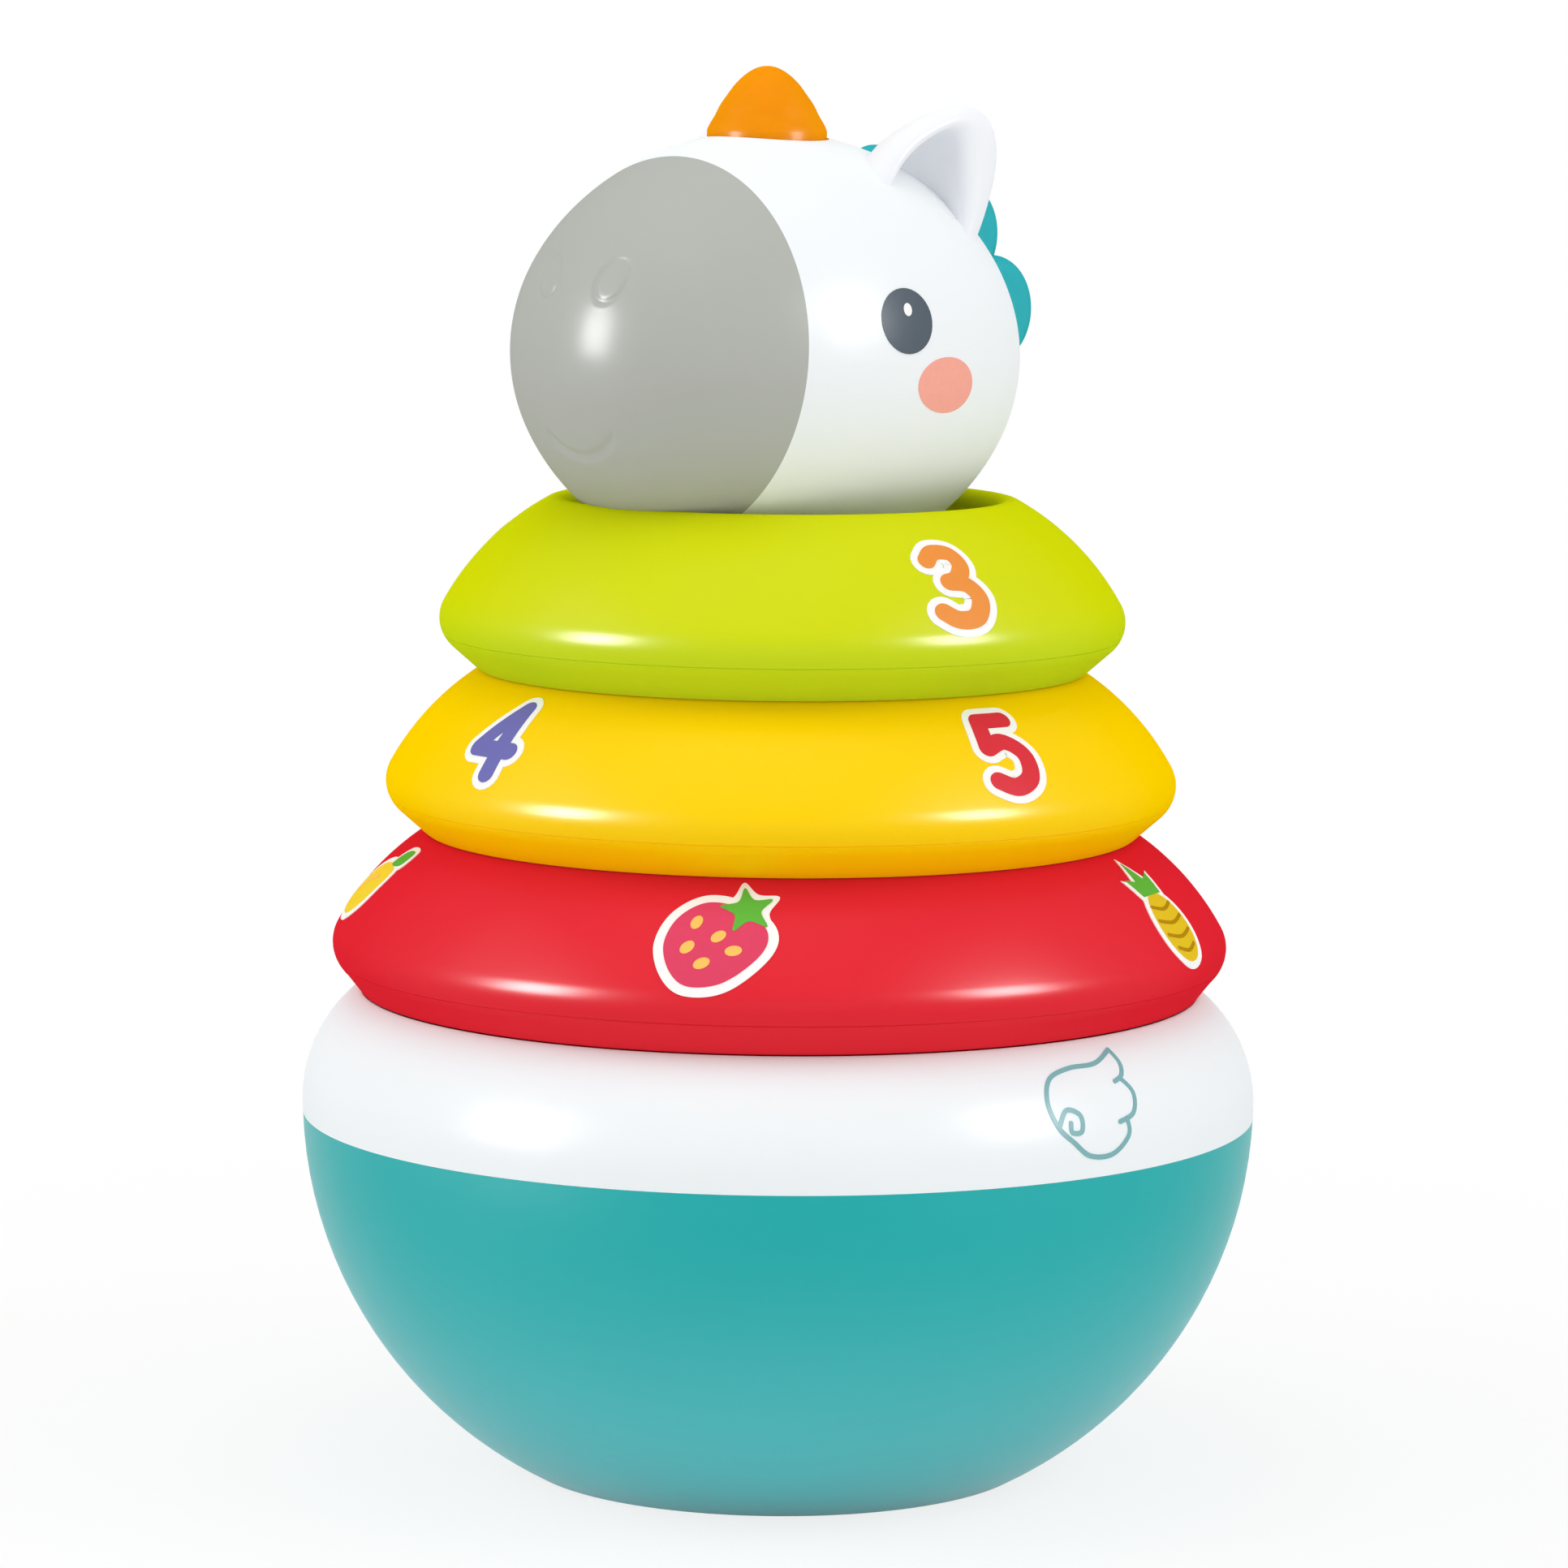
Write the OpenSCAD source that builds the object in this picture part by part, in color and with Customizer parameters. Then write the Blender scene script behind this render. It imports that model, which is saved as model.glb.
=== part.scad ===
// Stacking toy: a bowl base with a centre post, three lift-off rings and a unicorn head
// whose translucent horn is a lit push button.
// Millimetres. Z is up, the flat foot stands on z = 0 and the unicorn looks along -Y.

/* [Base] */
// Radius of the base at its widest
base_r = 75; // [72:0.5:82]
// Radius of the flat foot
foot_r = 40; // [34:0.5:46]
// Height of the widest line of the base
equator_z = 58.5; // [52:0.5:66]
// Depth of the colour seam below the widest line
seam_drop = 2; // [1:0.25:6]
// Radius of the rounded white shoulder
shoulder_r = 21; // [18:0.5:25]
// Wall of the two base shells
base_wall = 2.6; // [2:0.1:3.6]
// Depth of the seat for the lowest ring
seat_depth = 0.9; // [0.8:0.1:2.6]
// Height of the tongue that locates the two base shells
base_tongue_h = 4; // [3:0.5:6]
// Radius of the circle of base screws
base_screw_circle = 28; // [24:0.5:32]
// Number of base screws
base_screw_count = 4; // [3:1:6]
// Radius of the base screw bosses
base_boss_r = 4.6; // [4.2:0.1:6]
// Height at which the lower and upper bosses meet
boss_meet_z = 14; // [12:0.5:20]

/* [Rings] */
// Edge radius of the lowest ring
ring_r = 70.3; // [68:0.1:72]
// How much smaller each ring is than the one below
ring_step = 8.3; // [7.8:0.1:8.8]
// Height from one ring's edge to the next
ring_pitch = 25.5; // [24.5:0.1:27]
// Rounding radius of the outer edge
edge_r = 5.5; // [5:0.1:6.2]
// Distance of the lip's centre inside the edge
lip_in = 18.1; // [17.5:0.1:19]
// Height of the lip's centre above the edge
lip_rise = 16.6; // [16:0.1:17.4]
// Rounding radius of the lip
lip_r = 2.5; // [2.4:0.1:2.9]
// Radius of the gently crowned flank
flank_r = 41.5; // [34:0.5:60]
// Distance of the foot rim inside the edge
ring_foot_in = 6.1; // [5.6:0.1:6.6]
// Width of the foot rim
ring_foot_w = 2.4; // [2:0.1:3]
// Depth of the parting line below the edge
parting_drop = 2.5; // [2:0.1:3]
// Wall of the ring shells
ring_wall = 2; // [1.6:0.1:2.3]
// Height of the dished floor above the edge
dish_rise = 4; // [2.5:0.1:6]

/* [Post] */
// Radius of the post where it stands on the base
post_bottom_r = 23; // [22:0.1:25]
// Radius of the post at its top
post_top_r = 20.2; // [19.8:0.1:21]
// Number of screws that hold the post
post_screw_count = 3; // [3:1:5]

/* [Head] */
// Half length of the head along the line it looks
head_len = 44.7; // [42:0.1:47]
// Radius of the head across that line
head_rad = 34.5; // [33.5:0.1:36]
// Rounding radius of the nose and of the back of the head
nose_r = 28.5; // [27:0.1:30]
// Distance of the head's centre in front of the post
head_fwd = 3.8; // [2.5:0.1:4.5]
// Height of the head's centre above the top ring's edge
head_rise = 41.5; // [40.5:0.1:44]
// Angle by which the nose points up
head_tilt = 3.3; // [0:0.1:6]
// Distance of the muzzle joint in front of the head's centre
muzzle_fwd = 22.4; // [20:0.1:25]
// Wall of the head shells
head_wall = 2.2; // [1.8:0.1:2.6]
// Depth of the flat neck below the head's centre
neck_drop = 27.9; // [27:0.1:28.4]
// Length of the tongue that locates the muzzle
muzzle_tongue = 4; // [3:0.5:5]
// Distance of each nostril from the middle
nostril_side = 6.6; // [5:0.1:8]
// Height of the nostrils above the head's axis
nostril_up = 10.2; // [7:0.1:11]
// Radius of the raised nostril rim
nostril_r = 3.4; // [2.5:0.1:4.5]
// Depth of the smile line below the head's axis
smile_drop = 16.4; // [16:0.1:20]
// Radius of the smile line
smile_r = 9.5; // [8:0.1:11]
// Height or depth of the moulded face lines
face_line = 0.5; // [0.3:0.1:0.8]

/* [Horn] */
// Radius of the horn where it leaves the head
horn_r = 9.3; // [8.8:0.1:10]
// Height of the horn above the top of the head
horn_h = 10; // [8:0.1:14]
// Distance of the horn in front of the head's centre
horn_fwd = 0.7; // [0:0.1:2]
// Wall of the horn
horn_wall = 2; // [1.6:0.1:2.4]
// Travel of the horn when pressed
horn_travel = 1.2; // [0.8:0.1:1.6]
// Width of the flange that keeps the horn in
horn_flange_w = 1.9; // [1.5:0.1:2.4]
// Thickness of that flange
horn_flange_t = 1.5; // [1.2:0.1:2]

/* [Ears and mane] */
// Distance of the ears from the middle
ear_side = 21.5; // [20:0.1:23]
// Distance of the ears behind the head's centre
ear_back = 16; // [14:0.1:18]
// Half width of the ear's root
ear_half_w = 7; // [6:0.1:8]
// Height of the ear tip's centre above the head's centre
ear_tip_up = 34.2; // [32:0.1:37]
// Rounding radius of the ear
ear_round = 3.8; // [3.2:0.1:4.4]
// Distance of the ear's tip behind its root
ear_lean = 4; // [2:0.1:6]
// Radius of the hollow in the ear
ear_hollow_r = 8; // [7:0.1:9]
// Distance of the hollow's middle in front of the ear's
ear_hollow_fwd = 3; // [2:0.1:4]
// Depth of the ear's solid back behind the hollow
ear_rim = 1.3; // [1:0.1:1.8]
// How far the ear's front root lies in towards the horn
ear_tuck = 2.5; // [1.5:0.1:3]
// How far the ear's tip lies out from its root
ear_flare = 1; // [0.5:0.1:1.5]
// How far the back edge of the ear lies below its front edge
ear_drop = 6; // [5:0.1:7]
// Radius of the pegs of the ears and the mane
peg_r = 2.2; // [1.6:0.1:2.8]
// How far the pegs reach into the head behind its wall
peg_in = 2; // [1.5:0.1:3]
// How far the pegs reach into the ears and the mane
peg_out = 3; // [2:0.1:4]
// Number of lobes of the mane
mane_lobes = 3; // [2:1:4]
// Radius of a lobe
mane_lobe_r = 8.7; // [8.5:0.1:11]
// Radius of the small first lobe
mane_first_r = 5.6; // [5.4:0.1:7]
// Half width of the mane at its first lobe
mane_half_w = 6.2; // [5:0.1:8]
// How much wider each lobe is than the one before, on each side
mane_flare = 1.8; // [0.2:0.1:2.4]
// Rounding radius of the lobes
mane_round = 2.6; // [2:0.1:2.7]
// Angle of the first lobe behind the top of the head
mane_start = 43; // [40:1:44]
// Angle from one lobe to the next
mane_gap = 18; // [18:1:21]

/* [Light] */
// Radius of the neck plug that drops into the post
plug_r = 17.5; // [17:0.1:17.8]
// Length of the neck plug below the neck
plug_len = 12; // [10:0.1:16]
// Wall of the neck plug
plug_wall = 1.8; // [1.6:0.1:2]
// Radius of the coin cell
cell_r = 10; // [8:0.1:10.5]
// Thickness of the coin cell
cell_h = 3.2; // [2:0.1:3.6]
// Thickness of the battery contacts
contact_t = 0.4; // [0.3:0.1:0.6]
// Thickness of the battery door
door_t = 2.4; // [2.2:0.1:3]
// Outer radius of the mast that carries the circuit board
mast_r = 10; // [9.5:0.1:11]
// Wall of that mast
mast_wall = 1.8; // [1.4:0.1:2]
// Thickness of the circuit board
board_t = 1.2; // [0.8:0.1:1.6]
// Width of the push switch
switch_w = 6; // [5:0.1:6.4]
// Height of the push switch
switch_h = 3.2; // [2.8:0.1:3.6]
// Radius of the switch plunger
plunger_r = 1.7; // [1.2:0.1:2]
// Height of the plunger above the switch
plunger_h = 1.5; // [1.4:0.1:2.4]
// Radius of the lamp
led_r = 1.5; // [1:0.1:1.6]
// Height of the lamp above the board
led_h = 4.6; // [4:0.1:5]
// Radius of the wires
wire_r = 0.5; // [0.4:0.05:0.6]

/* [Fits] */
// Gap between fixed pieces of one assembly
fit_gap = 0.1; // [0.05:0.05:0.2]
// Gap under a piece that rests on another
rest_gap = 0.3; // [0.25:0.05:0.5]
// Clearance between a ring's hub and the post
post_clear = 0.8; // [0.5:0.1:1.5]
// Clearance of the neck plug in the post
plug_clear = 0.4; // [0.3:0.05:0.6]
// Clearance round the horn
horn_clear = 0.35; // [0.3:0.05:0.5]
// Clearance between stacked pieces that nest
nest_clear = 0.6; // [0.4:0.1:1]
// Radius of a screw's shank
screw_r = 1.5; // [1.2:0.1:1.6]
// Radius of a screw's head
screw_head_r = 2.8; // [2.5:0.1:3]
// Height of a screw's head
screw_head_h = 1.8; // [1.5:0.1:2]
// How far a screw bites into its boss
screw_bite = 9; // [7:0.5:10]

/* [Hidden] */
$fn = 64;

// A length that reaches past everything, for cutting
far = 4 * base_r;

// Ring section, measured from the ring's edge line
lip_c = [-lip_in, lip_rise];
edge_c = [-edge_r, 0];
mouth_in = lip_in + lip_r;
flank_c = arc_hub(lip_c, flank_r - lip_r, edge_c, flank_r - edge_r);
lip_angle = heading(lip_c - flank_c);
edge_angle = heading(edge_c - flank_c);
ring_foot_drop = ring_pitch - flank_height(ring_foot_in + ring_step) - rest_gap;
ring_foot = [-ring_foot_in, -ring_foot_drop];
foot_angle = touch_angle(ring_foot, edge_c, edge_r);
plate_z = lip_rise + lip_r + nest_clear - ring_pitch;
plate_top = plate_z + ring_wall;

// Base outline
seam_z = equator_z - seam_drop;
bowl_c = (base_r ^ 2 - foot_r ^ 2 - equator_z ^ 2) / (2 * (base_r - foot_r));
bowl_r = base_r - bowl_c;
shoulder_c = base_r - shoulder_r;
seat_r = ring_r - ring_foot_in + nest_clear - seat_depth * tan(foot_angle);
seat_z = equator_z + sqrt(shoulder_r ^ 2 - (seat_r - shoulder_c) ^ 2) - seat_depth;
base_floor = base_wall + screw_head_h;

// Heights of the stack
red_z = seat_z + rest_gap + ring_foot_drop;
yellow_z = red_z + ring_pitch;
lime_z = yellow_z + ring_pitch;
head_z = lime_z + head_rise;
neck_z = head_z - neck_drop;
post_top_z = neck_z - rest_gap;

// Head outline, a four-arc oval turned about the line the head looks along
end_c = head_len - nose_r;
side_r = (head_rad ^ 2 + head_len ^ 2 - 2 * head_len * nose_r) / (2 * (head_rad - nose_r));
side_c = side_r - head_rad;

// Horn and the lamp under it
horn_y = -head_fwd - horn_fwd;
horn_base_z = head_z + head_rad;
horn_flange_r = horn_r + horn_clear + horn_flange_w;
horn_flange_z = head_z + sqrt((head_rad - head_wall) ^ 2 - horn_flange_r ^ 2) - horn_clear - horn_flange_t;
horn_bore_r = horn_r - horn_wall;
board_top_z = horn_flange_z - horn_travel - nest_clear;
board_z = board_top_z - board_t;
board_r = mast_r + nest_clear;
plunger_top_z = board_top_z + switch_h + plunger_h;
led_x = switch_w / 2 + led_r + nest_clear;

// Neck plug and battery
plug_z = neck_z - plug_len;
bay_r = plug_r - plug_wall;
bay_h = door_t + cell_h + 2 * contact_t;
bay_top_z = plug_z + bay_h;
neck_flange_z = neck_z + head_wall;
cell_x = -(bay_r - cell_r - nest_clear);
wire_x = cell_x + cell_r + nest_clear + wire_r;
door_screw_x = bay_r - screw_head_r - nest_clear;
return_wire_x = -wire_x / 2;

// Mane and ears, measured from the head's centre
ear_root_up = sqrt(head_rad ^ 2 * (1 - (ear_back / head_len) ^ 2) - ear_side ^ 2);

// Centre of the arc that touches two circles from outside, given the distances to their centres
function arc_hub(a, da, b, db) =
    let (
        d = norm(b - a),
        u = (b - a) / d,
        t = (da ^ 2 - db ^ 2 + d ^ 2) / (2 * d)
    )
    a + t * u + sqrt(da ^ 2 - t ^ 2) * [u[1], -u[0]];

// Height of a ring's flank at a distance inside its edge
function flank_height(inside) = flank_c[1] + sqrt(flank_r ^ 2 - (inside + flank_c[0]) ^ 2);

// Direction of a vector, and the direction in which a line from p touches a circle on its outer side
function heading(v) = atan2(v[1], v[0]);
function touch_angle(p, c, r) = heading(p - c) + acos(r / norm(p - c));

// Direction of the parting line on an arc about the edge's centre
function parting_angle(r) = -asin(parting_drop / r);

// Points along an arc; an arc that carries on from another leaves its first point out
function arc_points(c, r, from, to, steps, first = 1) =
    [for (i = [first:steps]) let (a = from + (to - from) * i / steps) c + r * [cos(a), sin(a)]];

// Radius of the post at a height
function post_radius(z) =
    post_bottom_r + (post_top_r - post_bottom_r) * (z - seat_z) / (post_top_z - seat_z);

// Radius of a ring's hub, which clears the post where the ring rests
function hub_radius(z) = post_radius(z + plate_z) + post_clear;

// Radius of the head's oval at a distance along its axis
function oval_radius(along, inset) = sqrt((side_r - inset) ^ 2 - along ^ 2) - side_c;

// Distance of the head's surface from its centre, at an angle behind the top
function oval_reach(angle) =
    1 / sqrt((sin(angle) / head_len) ^ 2 + (cos(angle) / head_rad) ^ 2);

// Half plane above or below a height, right of the axis
module above(z) translate([0, z]) square([far, far]);
module below(z) translate([0, z - far]) square([far, far]);

// Wedge of a disc, from its centre out past two directions
module wedge(c, a, b) polygon([c, c + far * (a - c) / norm(a - c), c + far * (b - c) / norm(b - c)]);

// Copies on a circle about the axis
module on_circle(count, r, turn = 0)
    for (i = [0:count - 1]) rotate(turn + i * 360 / count) translate([r, 0, 0]) children();

// Pan-head screw with a crossed recess, head down and its seat on z = 0
module screw(length) {
    cylinder(r = screw_r, h = length);
    difference() {
        translate([0, 0, -screw_head_h]) cylinder(r = screw_head_r, h = screw_head_h);
        for (turn = [0, 90])
            rotate(turn)
                translate([0, 0, -screw_head_h])
                    cube([1.4 * screw_head_r, screw_r / 2, screw_head_h], center = true);
    }
}

// Outline of the base, drawn in from its surface by an inset
module base_outline(inset = 0) {
    intersection() {
        translate([bowl_c, equator_z]) circle(bowl_r - inset);
        above(inset);
        below(equator_z);
    }
    intersection() {
        union() {
            translate([shoulder_c, equator_z]) circle(shoulder_r - inset);
            square([shoulder_c, equator_z + shoulder_r - inset]);
        }
        above(equator_z);
    }
}

module base_bowl() color("#4fb3b6") difference() {
    union() {
        rotate_extrude() difference() {
            intersection() {
                base_outline();
                below(seam_z);
            }
            intersection() {
                base_outline(base_wall);
                above(base_floor);
            }
        }
        on_circle(base_screw_count, base_screw_circle) cylinder(r = base_boss_r, h = boss_meet_z);
    }
    on_circle(base_screw_count, base_screw_circle) {
        translate([0, 0, -1]) cylinder(r = screw_r + fit_gap, h = boss_meet_z + 2);
        translate([0, 0, -1]) cylinder(r = screw_head_r + nest_clear, h = base_floor + 1);
    }
}

module base_top() color("#f4f5f7") {
    tongue_r = bowl_c + sqrt((bowl_r - base_wall) ^ 2 - (seam_drop + base_tongue_h) ^ 2) - fit_gap;
    tongue_in = tongue_r - base_wall / 2;
    ceiling_z = seat_z - base_wall;
    shoulder = [shoulder_c, equator_z];
    inner_r = shoulder_r - base_wall;
    ledge_angle = asin((base_wall - seam_drop) / inner_r);
    ceiling_angle = asin((ceiling_z - equator_z) / inner_r);
    difference() {
        union() {
            rotate_extrude() polygon(concat(
                [[0, ceiling_z], [0, seat_z], [seat_r, seat_z]],
                arc_points(shoulder, shoulder_r, acos((seat_r - shoulder_c) / shoulder_r), 0, 14, 0),
                arc_points([bowl_c, equator_z], bowl_r, 0, -asin(seam_drop / bowl_r), 2),
                [[tongue_r, seam_z], [tongue_r, seam_z - base_tongue_h]],
                [[tongue_in, seam_z - base_tongue_h], [tongue_in, seam_z + base_wall]],
                arc_points(shoulder, inner_r, ledge_angle, ceiling_angle, 10, 0)
            ));
            on_circle(base_screw_count, base_screw_circle)
                translate([0, 0, boss_meet_z])
                    cylinder(r = base_boss_r, h = ceiling_z - boss_meet_z + base_wall / 2);
        }
        on_circle(base_screw_count, base_screw_circle)
            translate([0, 0, boss_meet_z - 1]) cylinder(r = screw_r, h = screw_bite + 2);
        on_circle(post_screw_count, (post_bottom_r + plug_r) / 2)
            translate([0, 0, ceiling_z - 1]) cylinder(r = screw_r + fit_gap, h = base_wall + 2);
    }
}

module base_screws() color("#b9bec4")
    on_circle(base_screw_count, base_screw_circle)
        translate([0, 0, base_floor]) screw(boss_meet_z - base_floor + screw_bite);

module post() color("#f4f5f7") difference() {
    translate([0, 0, seat_z])
        cylinder(r1 = post_bottom_r, r2 = post_top_r, h = post_top_z - seat_z);
    translate([0, 0, seat_z - 1]) cylinder(r = plug_r + plug_clear, h = post_top_z - seat_z + 2);
    on_circle(post_screw_count, (post_bottom_r + plug_r) / 2)
        translate([0, 0, seat_z - 1]) cylinder(r = screw_r, h = screw_bite + 2);
}

module post_screws() color("#b9bec4")
    on_circle(post_screw_count, (post_bottom_r + plug_r) / 2)
        translate([0, 0, seat_z - base_wall]) screw(base_wall + screw_bite);

// Body of a ring from its mouth to its flank, drawn in from the surface by an inset
module ring_body(r, inset = 0) translate([r, 0]) polygon(concat(
    [[inset - mouth_in, -edge_r], [inset - mouth_in, lip_rise]],
    arc_points(lip_c, lip_r - inset, 180, lip_angle, 8),
    arc_points(flank_c, flank_r - inset, lip_angle, edge_angle, 8),
    arc_points(edge_c, edge_r - inset, edge_angle, -90, 10)
));

// Upper shell of a ring: flank, lip, dished floor and hub
module ring_top(r, z) {
    hub_x = hub_radius(z) - r;
    inner_edge_r = edge_r - ring_wall;
    translate([0, 0, z]) rotate_extrude() translate([r, 0]) polygon(concat(
        [[hub_x + ring_wall, plate_top], [hub_x, plate_top], [hub_x, dish_rise]],
        [[-mouth_in, dish_rise], [-mouth_in, lip_rise]],
        arc_points(lip_c, lip_r, 180, lip_angle, 8),
        arc_points(flank_c, flank_r, lip_angle, edge_angle, 8),
        arc_points(edge_c, edge_r, edge_angle, parting_angle(edge_r), 6),
        arc_points(edge_c, inner_edge_r, parting_angle(inner_edge_r), edge_angle, 6, 0),
        arc_points(flank_c, flank_r - ring_wall, edge_angle, lip_angle, 8),
        arc_points(lip_c, lip_r - ring_wall, lip_angle, 180, 4),
        [[ring_wall - mouth_in, plate_top], [-mouth_in, plate_top]],
        [[-mouth_in, dish_rise - ring_wall], [hub_x + ring_wall, dish_rise - ring_wall]]
    ));
}

// Lower shell of a ring: underside, foot rim and floor, shaped to sit over the ring below
module ring_bottom(r, z, over_ring) {
    hub_r = hub_radius(z);
    translate([0, 0, z]) rotate_extrude() difference() {
        translate([r, 0]) polygon(concat(
            [[hub_r - r, -ring_foot_drop], [hub_r - r, -parting_drop]],
            arc_points(edge_c, edge_r, parting_angle(edge_r), foot_angle, 4, 0),
            [ring_foot]
        ));
        translate([0, plate_z - far]) square([r - ring_foot_in - ring_foot_w, far]);
        translate([r, 0]) polygon(concat(
            [[-r, 0], [-r, plate_top], [-edge_r, plate_top]],
            arc_points(edge_c, edge_r - ring_wall, -72, 0, 6)
        ));
        if (over_ring) translate([0, -ring_pitch]) ring_body(r + ring_step, -rest_gap);
    }
}

module red_ring_top() color("#e8252f") ring_top(ring_r, red_z);
module red_ring_bottom() color("#e8252f") ring_bottom(ring_r, red_z, false);
module yellow_ring_top() color("#fbd40f") ring_top(ring_r - ring_step, yellow_z);
module yellow_ring_bottom() color("#fbd40f") ring_bottom(ring_r - ring_step, yellow_z, true);
module lime_ring_top() color("#cde013") ring_top(ring_r - 2 * ring_step, lime_z);
module lime_ring_bottom() color("#cde013") ring_bottom(ring_r - 2 * ring_step, lime_z, true);

// The head's own frame: z along the line it looks, y up, x to its left
module head_frame()
    translate([0, -head_fwd, head_z]) rotate([90 - head_tilt, 0, 0]) children();

// Half outline of the head, drawn in from its surface by an inset
module oval_half(inset) intersection() {
    translate([0, -far]) square([far, 2 * far]);
    union() {
        for (end = [end_c, -end_c]) translate([0, end]) circle(nose_r - inset);
        intersection() {
            translate([-side_c, 0]) circle(side_r - inset);
            wedge([-side_c, 0], [0, end_c], [0, -end_c]);
        }
    }
}

// Solid head, whole or only behind the muzzle joint
module head_solid(inset = 0) head_frame() rotate_extrude() oval_half(inset);
module rear_solid() head_frame() rotate_extrude() intersection() {
    oval_half(0);
    below(muzzle_fwd);
}

// What the head leaves free: the space under the neck and round the lip of the ring it sits in
module head_relief() {
    lip_x = ring_r - 2 * ring_step - lip_in;
    reach = (lip_r + nest_clear) / cos(15);
    translate([0, 0, lime_z]) rotate_extrude() polygon(concat(
        [[0, -far], [0, neck_z - lime_z], [lip_x - reach, neck_z - lime_z]],
        [for (a = [180:-30:90]) [lip_x + reach * cos(a), lip_rise + reach * sin(a)]],
        [[far, lip_rise + reach], [far, -far]]
    ));
}

module head_shell() color("#f6f6f8") difference() {
    union() {
        difference() {
            rear_solid();
            head_solid(head_wall);
        }
        intersection() {
            rear_solid();
            translate([0, 0, neck_z]) cylinder(r = far, h = head_wall);
        }
    }
    head_relief();
    translate([0, 0, neck_z - 1]) cylinder(r = plug_r + fit_gap, h = head_wall + 1.5);
    translate([0, horn_y, head_z]) cylinder(r = horn_r + horn_clear, h = far);
    for (side = [1, -1]) ear_peg(side, fit_gap);
    mane_pegs(fit_gap);
}

module muzzle() color("#b4b6b0") difference() {
    tongue_r = oval_radius(muzzle_fwd, head_wall) - fit_gap;
    head_frame() {
        rotate_extrude() {
            difference() {
                intersection() {
                    oval_half(0);
                    above(muzzle_fwd);
                }
                oval_half(head_wall);
            }
            translate([tongue_r - head_wall, muzzle_fwd - muzzle_tongue])
                square([head_wall, muzzle_tongue + head_wall]);
        }
        for (side = [1, -1])
            on_nose(asin(norm([nostril_side, nostril_up]) / nose_r), atan2(nostril_up, side * nostril_side))
                nostril_rim();
    }
    head_relief();
    head_frame() on_nose(asin(smile_drop / nose_r) - asin(smile_r / nose_r), -90) smile_groove();
}

// Place on the rounded nose, an angle away from its tip in a direction about the axis
module on_nose(away, about) translate([0, 0, end_c]) rotate([0, away, about]) children();

// Raised rim of a nostril
module nostril_rim() translate([0, 0, nose_r - head_wall / 2]) difference() {
    cylinder(r = nostril_r, h = head_wall / 2 + face_line);
    cylinder(r = nostril_r - 2 * face_line, h = far);
}

// Smile line to cut from the nose
module smile_groove() {
    floor_z = sqrt(nose_r ^ 2 - smile_r ^ 2) - face_line;
    translate([0, 0, floor_z]) intersection() {
        difference() {
            cylinder(r = smile_r + face_line / 2, h = nose_r);
            translate([0, 0, -1]) cylinder(r = smile_r - face_line / 2, h = nose_r + 2);
        }
        translate([2 / 3 * smile_r, -smile_r, 0]) cube([smile_r, 2 * smile_r, nose_r / 2]);
    }
}

// Peg through the head's wall, or the hole for it with a gap all round
module peg(gap) cylinder(r = peg_r + gap, h = peg_in + head_wall + peg_out);

// Line of an ear's peg, from the head's centre out through the ear's root
module ear_peg(side, gap) head_frame() {
    root = [side * ear_side, ear_root_up, -ear_back];
    reach = norm(root);
    rotate([0, acos(root[2] / reach), atan2(root[1], root[0])])
        translate([0, 0, reach - head_wall - peg_in]) peg(gap);
}

// Rounded ear with a hollow that looks forward and out
module ear(side) {
    root_mid = ear_root_up + ear_round / 2;
    ear_back_edge = ear_back + ear_half_w;
    difference() {
        head_frame() mirror([side > 0 ? 0 : 1, 0, 0]) difference() {
            hull() {
                translate([ear_side - ear_tuck, root_mid, -ear_back + ear_half_w + ear_flare])
                    sphere(ear_round, $fn = 32);
                translate([ear_side + ear_flare / 2, ear_root_up - ear_drop, 2 * ear_flare - ear_back_edge])
                    sphere(ear_round, $fn = 32);
                translate([ear_side + ear_flare, ear_tip_up, -ear_back - ear_lean])
                    sphere(ear_round, $fn = 32);
                translate([ear_side + 1.5 * ear_flare, ear_tip_up - ear_drop, -ear_back_edge])
                    sphere(ear_round, $fn = 32);
                translate([ear_side - 2 * ear_tuck, root_mid, -ear_back - ear_flare])
                    sphere(ear_round, $fn = 32);
            }
            translate([ear_side + ear_hollow_r + ear_rim, ear_root_up + ear_round, ear_hollow_fwd - ear_back])
                sphere(ear_hollow_r, $fn = 64);
        }
        head_solid(-fit_gap);
    }
    ear_peg(side, 0);
}
module left_ear() color("#f6f6f8") ear(1);
module right_ear() color("#f6f6f8") ear(-1);

// Place of a mane lobe on the back of the head
module at_lobe(i) {
    angle = mane_start + i * mane_gap;
    reach = oval_reach(angle);
    translate([0, reach * cos(angle), -reach * sin(angle)]) rotate([-angle, 0, 0]) children();
}

module mane_pegs(gap) head_frame()
    for (i = [0:mane_lobes - 1])
        at_lobe(i) rotate([-90, 0, 0])
            translate([0, 0, -head_wall - peg_in]) peg(gap);

module mane() color("#4fb3b6") {
    difference() {
        head_frame()
            for (i = [0:mane_lobes - 1])
                at_lobe(i) rotate([0, 90, 0])
                    mane_lobe(i == 0 ? mane_first_r : mane_lobe_r, mane_half_w + i * mane_flare);
        head_solid(-fit_gap);
    }
    mane_pegs(0);
}

// One lobe: a disc with a rounded edge, lying in the middle plane of the head
module mane_lobe(r, half_w) rotate_extrude() {
    for (side = [1, -1])
        translate([r - mane_round, side * (half_w - mane_round)]) circle(mane_round);
    translate([0, -half_w]) square([r - mane_round, 2 * half_w]);
    translate([0, mane_round - half_w]) square([r, 2 * (half_w - mane_round)]);
}

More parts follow.
